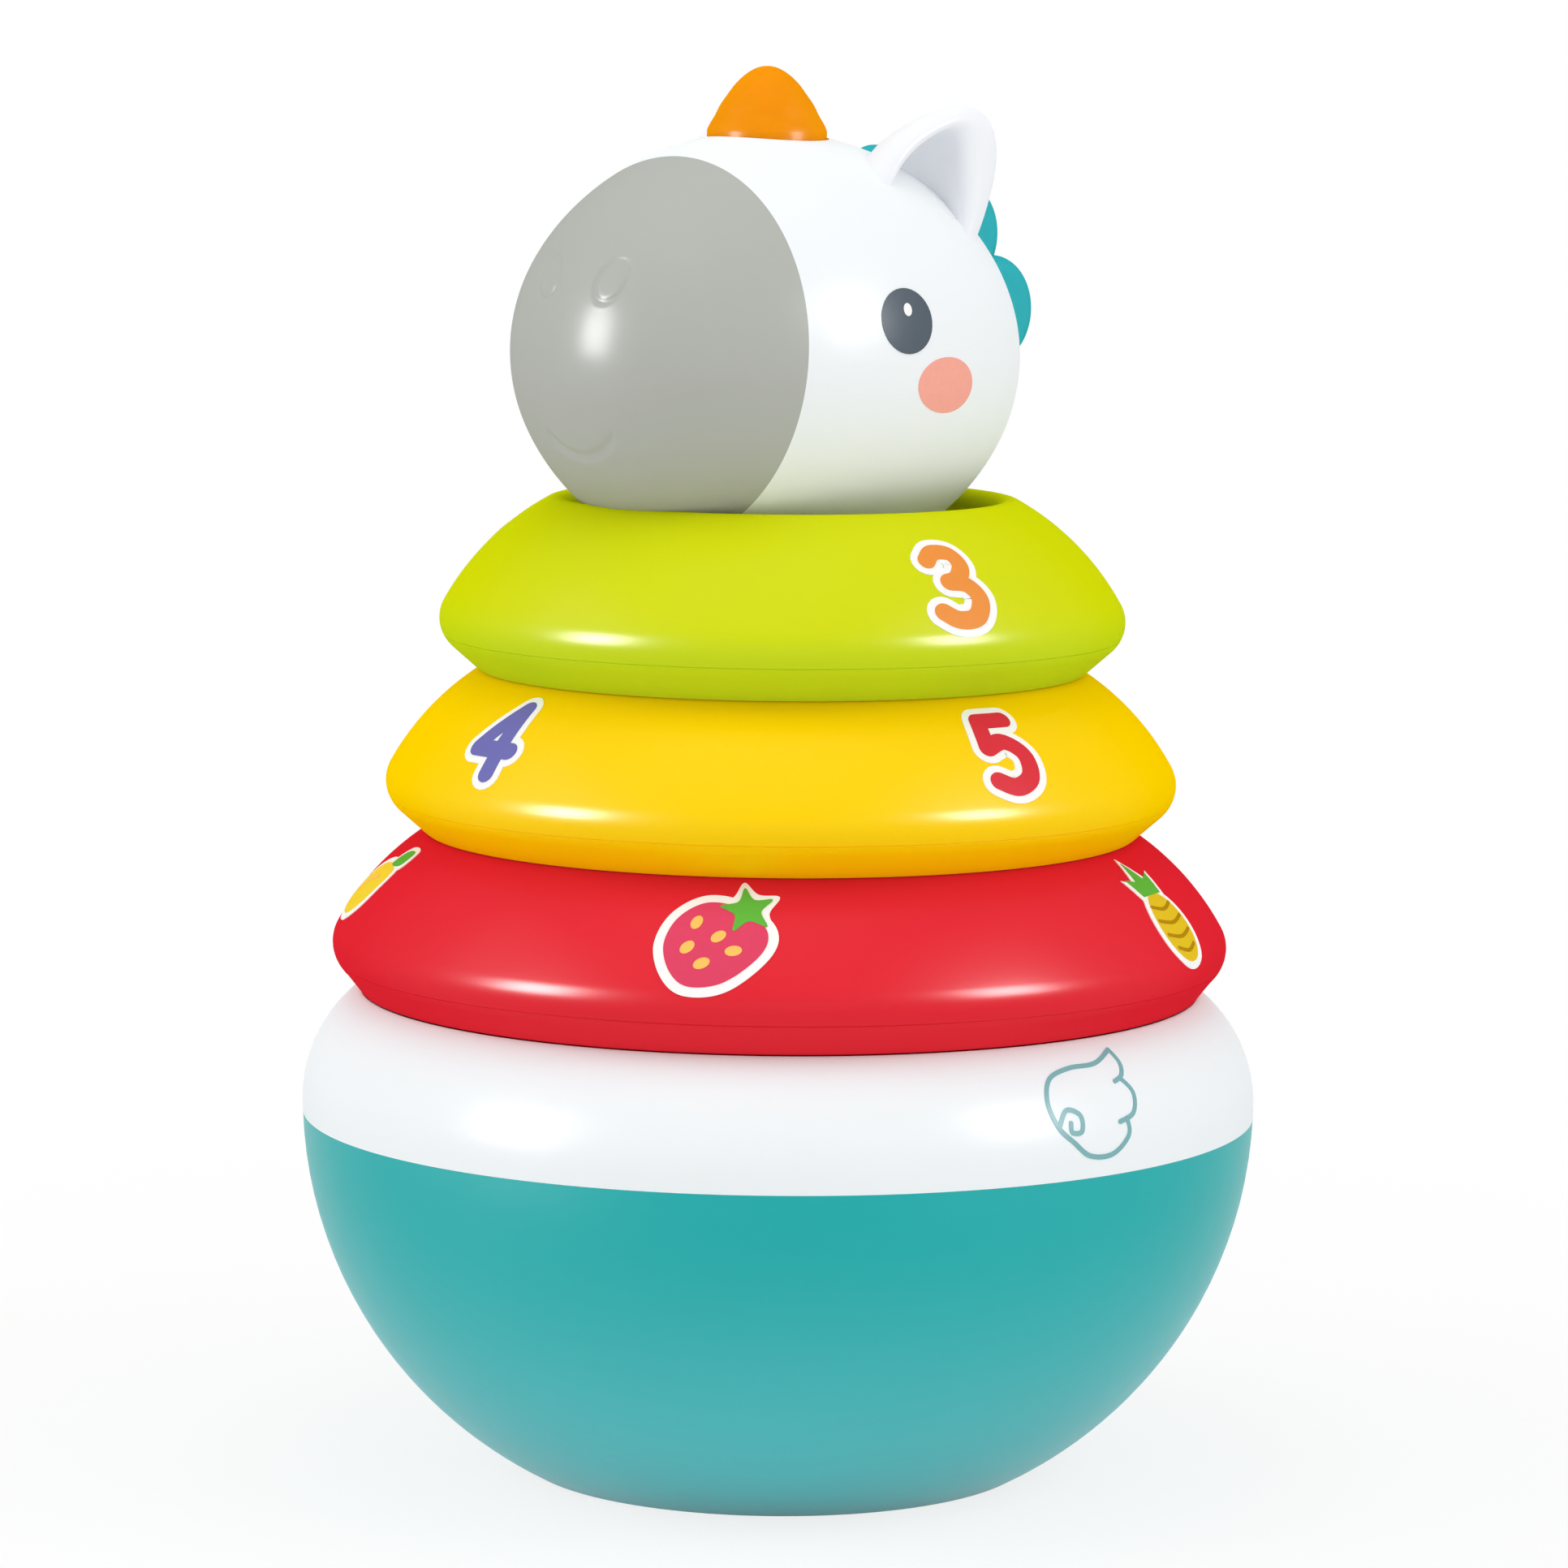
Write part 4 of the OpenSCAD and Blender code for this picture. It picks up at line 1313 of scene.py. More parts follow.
@dataclass
class Ring:
    """One lift-off ring in two shells, with its stickers. Points are from the middle of the ring's edge.

    Attributes:
        name: Start of its nodes' and pieces' names.
        body: Its body.
        finish: Its finish.
        radius: Radius of its edge.
        nests: Whether its foot sits on another ring's flank.
        stickers: Its stickers.
        lip_c: Centre of the round lip.
        lip_r: Radius of the lip.
        flank_c: Centre of the crowned flank.
        edge_r: Radius of the rounded edge.
        lip_angle: Direction in degrees in which the lip meets the flank.
        edge_angle: Direction in degrees in which the flank meets the edge.
        wall: Thickness of the shells.
        parting: Depth of the parting line below the middle of the edge.
        groove_half: Half the width of the groove at the parting line.
        groove_depth: Depth of that groove.
        groove_angle: Direction of the groove below the level, in degrees.
        dish: Height of the dish's floor.
        dish_round: Radius of the round between the dish and the lip.
        hub_gap: Running gap between the hub and the post.
        hub_round: Radius of the round at the top of the hub.
        plate: Height of the underside.
        touch_angle: Direction below the level in which the foot leaves the edge, in degrees.
        foot: Outer corner of the foot rim.
        foot_w: Width of the foot rim.
        foot_bevel: Bevel outside and inside that corner.
        heel_lift: Height by which a nesting ring's foot rises on its inner side.
        skirt: Corner between the edge and the foot of a ring that doesn't nest.
        edge_z: Height of the edge's middle.
        hub_r: Radius of the hub's bore.
    """

    name: str
    body: Body
    finish: Finish
    radius: float
    nests: bool
    stickers: list[Sticker]
    lip_c: Point = (-18.1, 16.6)
    lip_r: float = 2.5
    flank_c: Point = RING_FLANK_C
    edge_r: float = RING_EDGE_R
    lip_angle: float = 61.13
    edge_angle: float = 29.17
    wall: float = 2.0
    parting: float = 2.5
    groove_half: float = 0.1
    groove_depth: float = 0.14
    groove_angle: float = 27.0
    dish: float = 4.0
    dish_round: float = 2.4
    hub_gap: float = 0.8
    hub_round: float = 0.6
    plate: float = -5.8
    touch_angle: float = 47.6
    foot: Point = (-6.1, -7.9)
    foot_w: float = 2.4
    foot_bevel: Point = (0.3, 0.1)
    heel_lift: float = 1.5
    skirt: Point = (-4.3, -7.25)
    edge_z: float = field(init=False)
    hub_r: float = field(init=False)

    def __post_init__(self) -> None:
        """Take the ring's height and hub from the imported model."""
        self.edge_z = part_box(f"{self.name}_top")[1].z / MM - self.lip_c[1] - self.lip_r
        post_low, post_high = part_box("post")
        share = (self.edge_z + self.plate - post_low.z / MM) / ((post_high.z - post_low.z) / MM)
        self.hub_r = POST_RADII[0] + (POST_RADII[1] - POST_RADII[0]) * share + self.hub_gap

    def at(self, x: float, z: float) -> Point:
        """Return a point given from the middle of the ring's edge."""
        return self.radius + x, self.edge_z + z

    def round_at(self, radius: float, angle: float) -> float:
        """Return how far out the edge's round is, at a radius and a direction in degrees."""
        return radius * math.cos(math.radians(angle)) - self.edge_r

    @staticmethod
    def dip(depth: float, radius: float) -> float:
        """Return the direction in degrees in which a round of the edge is a depth below the level."""
        return math.degrees(math.asin(depth / radius))

    def groove_floor(self) -> Point:
        """Return the point at the bottom of the parting groove."""
        return self.at(self.round_at(self.edge_r - self.groove_depth, self.groove_angle), -self.parting)

    def upper(self) -> bpy.types.Object:
        """Turn the upper shell: hub, dish, lip, flank and rounded edge.

        Returns:
            The piece.
        """
        hub = self.hub_r - self.radius
        mouth = self.lip_c[0] - self.lip_r
        corner = mouth - self.dish_round
        under = self.plate + self.wall
        below = self.dish - self.wall
        inner_r = self.edge_r - self.wall
        groove = self.dip(self.parting - self.groove_half, self.edge_r)
        inner = self.dip(self.parting, inner_r)
        at = self.at
        hub_top = self.dish - self.hub_round
        section = Section(*at(hub + self.wall, under)).line(at(hub, under), at(hub, hub_top))
        section.arc(at(hub + self.hub_round, hub_top), -90, 4)
        section.line(at(corner, self.dish)).arc(at(corner, self.dish + self.dish_round), 90, 8)
        section.line(at(mouth, self.lip_c[1]))
        section.arc(at(*self.lip_c), self.lip_angle - 180, 14)
        section.arc(at(*self.flank_c), self.edge_angle - self.lip_angle, 24)
        section.arc(at(-self.edge_r, 0.0), -groove - self.edge_angle, 14)
        section.line(self.groove_floor(), at(self.round_at(inner_r, inner), -self.parting))
        section.arc(at(-self.edge_r, 0.0), inner + self.edge_angle, 8)
        section.arc(at(*self.flank_c), self.lip_angle - self.edge_angle, 12)
        section.arc(at(*self.lip_c), 180 - self.lip_angle, 5)
        section.line(at(mouth + self.wall, under), at(mouth, under), at(mouth, below))
        section.line(at(hub + self.wall, below))
        mesh = section.close().turned(176)
        return add_piece(f"{self.name}_upper_shell", mesh, [self.finish], self.body, [f"{self.name}_top"])

    def lower(self) -> bpy.types.Object:
        """Turn the lower shell: floor, foot rim and the round under the edge.

        Returns:
            The piece.
        """
        hub = self.hub_r - self.radius
        under = self.plate + self.wall
        parted = self.dip(self.parting + self.groove_half, self.edge_r)
        inner = self.dip(self.parting, self.edge_r - self.wall)
        foot_x, foot_z = self.foot
        bevel_out, bevel_in = self.foot_bevel
        heel_x = foot_x - self.foot_w
        heel_z = foot_z + (self.heel_lift if self.nests else 0.0)
        at = self.at
        section = Section(*at(hub, self.plate)).line(at(hub, under), at(-self.edge_r, under))
        section.line(at(-self.edge_r, self.wall - self.edge_r)).arc(at(-self.edge_r, 0.0), 90 - inner, 6)
        section.line(self.groove_floor())
        section.line(at(self.round_at(self.edge_r, parted), -self.parting - self.groove_half))
        section.arc(at(-self.edge_r, 0.0), parted - self.touch_angle, 6)
        if not self.nests:
            section.line(at(*self.skirt))
        section.line(at(foot_x + bevel_out, foot_z + bevel_out), at(foot_x - bevel_in, foot_z))
        section.line(at(heel_x, heel_z), at(heel_x, self.plate))
        mesh = section.close().turned(176)
        replaced = [f"{self.name}_bottom"]
        return add_piece(f"{self.name}_lower_shell", mesh, [self.finish], self.body, replaced)

    def build(self) -> None:
        """Build both shells and lay the stickers."""
        self.upper()
        self.lower()
        for sticker in self.stickers:
            ground = RingFlank(self.radius, self.edge_z, sticker.azimuth, sticker.up)
            sticker.draw().lay(ground).make(f"{self.name}_sticker_{sticker.name}", self.body)


@dataclass(frozen=True)
class Ridge:
    """A smooth ridge along a line, or a groove where its height is negative.

    Attributes:
        place: Distance of its middle from the line.
        width: Distance in which it fades.
        height: Its height.
    """

    place: float
    width: float
    height: float

    def at(self, off: float) -> float:
        """Return its height at a distance from the line."""
        return self.height * math.exp(-(((off - self.place) / self.width) ** 2))


# Outline of the ear and of the opening in it, point for point
EAR_OUTLINE: list[Point] = [
    *((11.0, -6.0), (12.0, 0.0), (11.6, 5.0), (9.4, 9.2), (6.2, 13.4), (2.2, 17.2), (-2.0, 18.4)),
    *((-5.8, 16.8), (-8.6, 13.0), (-10.0, 7.6), (-10.8, 1.0), (-10.6, -6.0), (0.0, -7.0)),
]
EAR_OPENING: list[Point] = [
    *((8.6, -5.0), (8.9, 0.5), (8.4, 4.0), (7.0, 7.2), (5.2, 10.0), (3.4, 12.0), (1.8, 12.4)),
    *((0.2, 11.2), (-1.6, 8.6), (-3.6, 5.4), (-6.0, 1.0), (-7.0, -5.0), (0.0, -6.0)),
]
# Lines of the ear's back: share of the outline's size and height, and the point they shrink to
EAR_BACK: list[Point] = [(0.3, -9.6), (0.66, -8.8), (0.9, -6.4), (0.98, -3.0), (1.0, 0.0)]
EAR_BACK_MIDDLE: Point = (0.4, -4.0)
# Lines of the ear's rim: share of the way from the outline to the opening, and height
EAR_RIM: list[Point] = [(0.25, 1.5), (0.6, 2.2), (0.9, 1.6), (1.0, 0.4)]
# Lines of the ear's hollow: share of the opening's size and height, and the point they shrink to
EAR_HOLLOW: list[Point] = [(0.98, -2.0), (0.88, -5.0), (0.6, -7.4), (0.25, -8.2)]
EAR_HOLLOW_MIDDLE: Point = (2.0, 2.0)


@dataclass
class Head:
    """The unicorn's head: muzzle, ears, printed eyes and cheeks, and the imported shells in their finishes.

    Attributes:
        nose_r: Radius of the nose.
        nose_c: Distance of its centre in front of the head's.
        side_r: Radius of the head's side curve.
        side_c: Distance of that curve's centre beyond the head's axis.
        joint: Distance of the muzzle's joint in front of the head's centre.
        wall: Thickness of the muzzle.
        tongue: Length of the tongue that reaches into the head shell.
        tongue_gap: Gap round that tongue.
        skin: Depth to which a point counts as on the outside of the nose.
        nostril: Place of a nostril on the nose.
        nostril_r: Its half width and half height.
        nostril_lean: Angle in degrees by which it leans.
        nostril_ridges: Ridge and groove along its outline.
        smile_y: Height of the smile's middle.
        smile_bend: How strongly the smile curves.
        smile_half: Half its width.
        smile_fade: Length over which its ends fade.
        smile_ridges: Ridge and groove along the smile.
        eye_r: Half width and half height of an eye.
        eye_along: Distance of an eye in front of the head's centre.
        eye_around: Direction of an eye above the head's axis, in degrees.
        glint: Place of the glint in an eye.
        glint_r: Half width and half height of the glint.
        cheek_r: Half width and half height of a cheek.
        cheek_along: Distance of a cheek in front of the head's centre.
        cheek_around: Direction of a cheek above the head's axis, in degrees.
        ear_root: Origin of the left ear's outline.
        ear_across: Direction of the outline's width.
        ear_up: Direction of the outline's height, about.
        ear_peg: Middle of the hole under the left ear, in the head's frame.
        ear_peg_out: Direction out of that hole.
        ear_peg_r: Radius of the peg that fills it.
        ear_peg_depth: Length of the peg.
        ear_levels: Steps of smoothing of the ears.
    """

    nose_r: float = 28.5
    nose_c: float = 16.2
    side_r: float = HEAD_SIDE_R
    side_c: float = HEAD_SIDE_C
    joint: float = 22.4
    wall: float = 2.2
    tongue: float = 4.0
    tongue_gap: float = 0.1
    skin: float = 0.05
    nostril: Point = (6.6, 10.2)
    nostril_r: Point = (2.7, 3.5)
    nostril_lean: float = 16.0
    nostril_ridges: tuple[Ridge, Ridge] = (Ridge(0.5, 0.4, 0.03), Ridge(-0.2, 0.36, -0.22))
    smile_y: float = -16.4
    smile_bend: float = 0.066
    smile_half: float = 7.6
    smile_fade: float = 1.2
    smile_ridges: tuple[Ridge, Ridge] = (Ridge(1.2, 0.9, 0.1), Ridge(0.0, 0.6, -0.34))
    eye_r: Point = (5.1, 5.05)
    eye_along: float = 5.2
    eye_around: float = 10.7
    glint: Point = (0.1, 1.7)
    glint_r: Point = (0.8, 1.0)
    cheek_r: Point = (6.6, 4.3)
    cheek_along: float = -3.8
    cheek_around: float = -5.3
    ear_root: Vector = field(default_factory=lambda: HEAD_CENTRE + Vector((21.5, 13.1, 23.0)))
    ear_across: Vector = field(default_factory=lambda: Vector((-0.15, -0.86, 0.48)))
    ear_up: Vector = field(default_factory=lambda: Vector((0.09, 0.42, 0.90)))
    ear_peg: Vector = field(default_factory=lambda: Vector((21.32, 23.85, -15.96)))
    ear_peg_out: Vector = field(default_factory=lambda: Vector((0.637, 0.711, -0.298)))
    ear_peg_r: float = 2.3
    ear_peg_depth: float = 4.2
    ear_levels: int = 3

    def relief(self, x: float, y: float) -> float:
        """Give the height of the nostril rims and the smile's crease.

        Args:
            x: Place on the nose, from its middle to either side.
            y: Place on the nose, above the head's axis.

        Returns:
            The height over the plain nose.
        """
        lean = math.radians(self.nostril_lean)
        dx, dy = abs(x) - self.nostril[0], y - self.nostril[1]
        along = dx * math.sin(lean) + dy * math.cos(lean)
        across = dx * math.cos(lean) - dy * math.sin(lean)
        half_w, half_h = self.nostril_r
        off = (math.hypot(across / half_w, along / half_h) - 1.0) * half_w
        rim = sum(ridge.at(off) for ridge in self.nostril_ridges)
        curve = self.smile_y + self.smile_bend * x * x
        below = (curve - y) / math.hypot(1.0, 2 * self.smile_bend * x)
        ends = min(max((self.smile_half - abs(x)) / self.smile_fade, 0.0), 1.0)
        crease = sum(ridge.at(below) for ridge in self.smile_ridges)
        return rim + ends * ends * (3 - 2 * ends) * crease

    def muzzle(self) -> bpy.types.Object:
        """Turn the grey muzzle and press the nostrils and the smile into it.

        Returns:
            The piece.
        """
        turn = math.degrees(math.atan2(self.nose_c, self.side_c))
        outer = math.degrees(math.asin(self.joint / self.side_r))
        inner_r = self.side_r - self.wall
        inner = math.degrees(math.asin(self.joint / inner_r))
        rim_r = inner_r * math.cos(math.radians(inner)) - self.side_c
        side_c, nose_c = (-self.side_c, 0.0), (0.0, self.nose_c)
        section = Section(self.side_r * math.cos(math.radians(outer)) - self.side_c, self.joint)
        section.arc(side_c, turn - outer, 40).arc(nose_c, 90 - turn, 88)
        section.tip.co.x = 0.0
        section.line((0.0, self.nose_c + self.nose_r - self.wall)).arc(nose_c, turn - 90, 16)
        section.arc(side_c, inner - turn, 8)
        tongue_in, tongue_out = rim_r - self.wall, rim_r - self.tongue_gap
        tongue_end = self.joint - self.tongue
        section.line((tongue_in, self.joint), (tongue_in, tongue_end))
        section.line((tongue_out, tongue_end), (tongue_out, self.joint))
        mesh = section.close().turned(360)
        middle = Vector((0.0, 0.0, self.nose_c))
        for vert in mesh.verts:
            out = vert.co - middle
            if out.length > self.nose_r - self.skin and vert.co.z > self.nose_c + self.nose_r / 2:
                vert.co += out.normalized() * self.relief(vert.co.x, vert.co.y)
        bmesh.ops.transform(mesh, matrix=HEAD_FRAME, verts=mesh.verts)
        return add_piece("muzzle_shell", mesh, [GREY], Body.HEAD, ["muzzle"], crease=50)

    def face(self) -> None:
        """Print an eye and a cheek on both sides."""
        for side in Side:
            eye = Print().disc((0.0, 0.0), self.eye_r, INK_SLATE, PRINT_TOP)
            eye.disc(self.glint, self.glint_r, PAPER, GLINT_TOP)
            eye.lay(HeadSide(side, self.eye_along, self.eye_around))
            eye.make(f"eye_print_{side.name.lower()}", Body.HEAD)
            cheek = Print().disc((0.0, 0.0), self.cheek_r, INK_SALMON, PRINT_TOP)
            cheek.lay(HeadSide(side, self.cheek_along, self.cheek_around))
            cheek.make(f"cheek_print_{side.name.lower()}", Body.HEAD)

    @staticmethod
    def ear_loop(
        mesh: bmesh.types.BMesh, points: Iterable[Point], height: float
    ) -> list[bmesh.types.BMEdge]:
        """Draw one closed line of the ear.

        Args:
            mesh: Mesh of the ear.
            points: Points round the line.
            height: Height of the line over the ear's middle plane.

        Returns:
            The line's edges.
        """
        verts = [mesh.verts.new((x, y, height)) for x, y in points]
        return [mesh.edges.new(pair) for pair in zip(verts, verts[1:] + verts[:1])]

    def add_peg(self, mesh: bmesh.types.BMesh) -> None:
        """Add the peg that fills the hole in the head under the left ear, with its end flush.

        Args:
            mesh: Mesh of the ear, in place on the head.
        """
        turn = self.ear_peg_out.to_track_quat("Z", "Y").to_matrix().to_4x4()
        place = HEAD_FRAME @ Matrix.Translation(self.ear_peg) @ turn
        made = bmesh.ops.create_cone(
            mesh,
            cap_ends=True,
            segments=24,
            radius1=self.ear_peg_r,
            radius2=self.ear_peg_r,
            depth=self.ear_peg_depth,
            matrix=place @ Matrix.Translation((0.0, 0.0, -self.ear_peg_depth / 2)),
        )
        sharp = mesh.edges.layers.float.new("crease_edge")
        for vert in made["verts"]:
            for edge in vert.link_edges:
                if any(len(face.verts) > 4 for face in edge.link_faces):
                    edge[sharp] = 1.0

    def ear(self, side: Side) -> bpy.types.Object:
        """Model a rounded ear with a hollow on its outer side.

        Args:
            side: Side of the head.

        Returns:
            The piece.
        """
        mesh = bmesh.new()
        loops = []
        for scale, height in EAR_BACK:
            loops.append(self.ear_loop(mesh, shrunk(EAR_OUTLINE, scale, EAR_BACK_MIDDLE), height))
        pairs = list(zip(EAR_OUTLINE, EAR_OPENING))
        for share, height in EAR_RIM:
            between = [(x + share * (ox - x), y + share * (oy - y)) for (x, y), (ox, oy) in pairs]
            loops.append(self.ear_loop(mesh, between, height))
        for scale, height in EAR_HOLLOW:
            loops.append(self.ear_loop(mesh, shrunk(EAR_OPENING, scale, EAR_HOLLOW_MIDDLE), height))
        for low, high in zip(loops, loops[1:]):
            bmesh.ops.bridge_loops(mesh, edges=low + high)
        bmesh.ops.contextual_create(mesh, geom=loops[0])
        bmesh.ops.contextual_create(mesh, geom=loops[-1])
        bmesh.ops.recalc_face_normals(mesh, faces=mesh.faces)
        across = self.ear_across.normalized()
        up = (self.ear_up - across * self.ear_up.dot(across)).normalized()
        out = across.cross(up)
        if out.x < 0:
            out = -out
        place = Matrix((across, up, out)).transposed().to_4x4()
        place.translation = self.ear_root
        bmesh.ops.transform(mesh, matrix=place, verts=mesh.verts)
        self.add_peg(mesh)
        bmesh.ops.transform(mesh, matrix=Matrix.Diagonal((side.value, 1.0, 1.0, 1.0)), verts=mesh.verts)
        bmesh.ops.recalc_face_normals(mesh, faces=mesh.faces)
        name = side.name.lower()
        piece = add_piece(f"ear_{name}", mesh, [WHITE_EAR], Body.HEAD, [f"{name}_ear"], crease=180)
        smooth = piece.modifiers.new("smooth", "SUBSURF")
        smooth.levels = self.ear_levels
        smooth.render_levels = self.ear_levels
        return piece

    def build(self) -> None:
        """Build the head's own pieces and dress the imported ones."""
        dress(["head_shell"], WHITE)
        dress(["mane"], TEAL)
        dress(["neck_plug", "battery_door"], INNER)
        dress(["push_switch"], BLACK)
        dress(["coin_cell", "door_screw"], STEEL)
        dress(["battery_contacts"], CONTACT)
        dress(["circuit_board"], BOARD)
        dress(["led"], LAMP)
        dress(["battery_wires"], WIRE)
        self.muzzle()
        self.face()
        for side in Side:
            self.ear(side)


@dataclass
class Horn:
    """The clear horn that is pressed as a button.

    Attributes:
        radius: Radius of the horn's foot.
        height: Height of the part that shows.
        wall: Thickness of the horn.
        flange_r: Radius of the flange that holds it in the head.
        flange_t: Thickness of the flange.
        steps: Number of edges up the outline.
        tier_depth: Depth of the horn's faint tiers, as a share of its radius.
        tier_turn: How often the tiers follow each other, in radians over the height.
        bore_top: Height of the bore's end, as a share of the horn's.
        foot_z: Height of the flange's underside.
        base_z: Height where the horn leaves the head.
        centre_y: Distance of the horn behind the axis.
    """

    radius: float = 9.3
    height: float = 10.0
    wall: float = 2.0
    flange_r: float = 11.55
    flange_t: float = 1.5
    steps: int = 40
    tier_depth: float = 0.008
    tier_turn: float = 19.0
    bore_top: float = 0.55
    foot_z: float = field(init=False)
    base_z: float = field(init=False)
    centre_y: float = field(init=False)

    def __post_init__(self) -> None:
        """Take the horn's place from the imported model."""
        low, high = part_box("horn")
        self.foot_z = low.z / MM
        self.base_z = high.z / MM - self.height
        self.centre_y = (low.y + high.y) / 2 / MM

    def build(self) -> None:
        """Turn the horn and dress its plunger."""
        dress(["switch_plunger"], BLACK)
        bore = self.radius - self.wall
        flange_z = self.foot_z + self.flange_t
        bore_z = self.base_z + self.bore_top * self.height
        section = Section(bore, self.foot_z).line((self.flange_r, self.foot_z))
        section.line((self.flange_r, flange_z), (self.radius, flange_z), (self.radius, self.base_z))
        for i in range(1, self.steps + 1):
            angle = math.radians(90 * i / self.steps)
            rise = math.sin(angle) ** 2
            tier = 1.0 + self.tier_depth * math.sin(self.tier_turn * rise) * math.cos(angle)
            section.line((self.radius * math.cos(angle) * tier, self.base_z + self.height * rise))
        section.tip.co.x = 0.0
        section.line((0.0, bore_z), (bore / 3, bore_z), (bore, self.base_z))
        mesh = section.close().turned(96)
        bmesh.ops.translate(mesh, vec=(0.0, self.centre_y, 0.0), verts=mesh.verts)
        add_piece("horn_button", mesh, [HORN], Body.HORN, ["horn"], crease=50)


@dataclass
class PhotoCamera:
    """The camera at the photograph's viewing angle.

    Attributes:
        azimuth: Direction of the camera in degrees, from -Y towards +X.
        distance: Its level distance from the axis.
        height: Its height above the floor.
        pitch: Angle that it looks down, in radians.
        roll: Angle that it leans, in radians.
        yaw: Angle that it looks to the right, in radians.
        focal: Focal length in pixels of the frame.
        frame_size: Width of the frame in pixels.
    """

    azimuth: float = 43.3
    distance: float = 974.3
    height: float = 228.8
    pitch: float = 0.1234
    roll: float = 0.0092
    yaw: float = 0.0005
    focal: float = 7692.2
    frame_size: int = 1932

    def build(self) -> None:
        """Make the camera and give it to the scene."""
        turn = math.radians(self.azimuth)
        ahead = Vector((-math.sin(turn), math.cos(turn), 0.0))
        right = Vector((math.cos(turn), math.sin(turn), 0.0))
        right, ahead = (
            math.cos(self.yaw) * right - math.sin(self.yaw) * ahead,
            math.sin(self.yaw) * right + math.cos(self.yaw) * ahead,
        )
        level = Vector((0.0, 0.0, 1.0))
        look = math.cos(self.pitch) * ahead - math.sin(self.pitch) * level
        up = math.sin(self.pitch) * ahead + math.cos(self.pitch) * level
        x_axis = math.cos(self.roll) * right + math.sin(self.roll) * up
        y_axis = math.cos(self.roll) * up - math.sin(self.roll) * right
        spot = Vector((math.sin(turn), -math.cos(turn), 0.0)) * self.distance
        data = bpy.data.cameras.new("photo_camera")
        data.sensor_width = 36.0
        data.lens = data.sensor_width * self.focal / self.frame_size
        data.clip_start = 0.01
        camera = bpy.data.objects.new("photo_camera", data)
        place = Matrix((x_axis, y_axis, -look)).transposed().to_4x4()
        place.translation = Vector((spot.x, spot.y, self.height)) * MM
        camera.matrix_world = place
        bpy.context.scene.collection.objects.link(camera)
        bpy.context.scene.camera = camera


# Plain white light
WHITE_LIGHT = (1.0, 1.0, 1.0, 1.0)


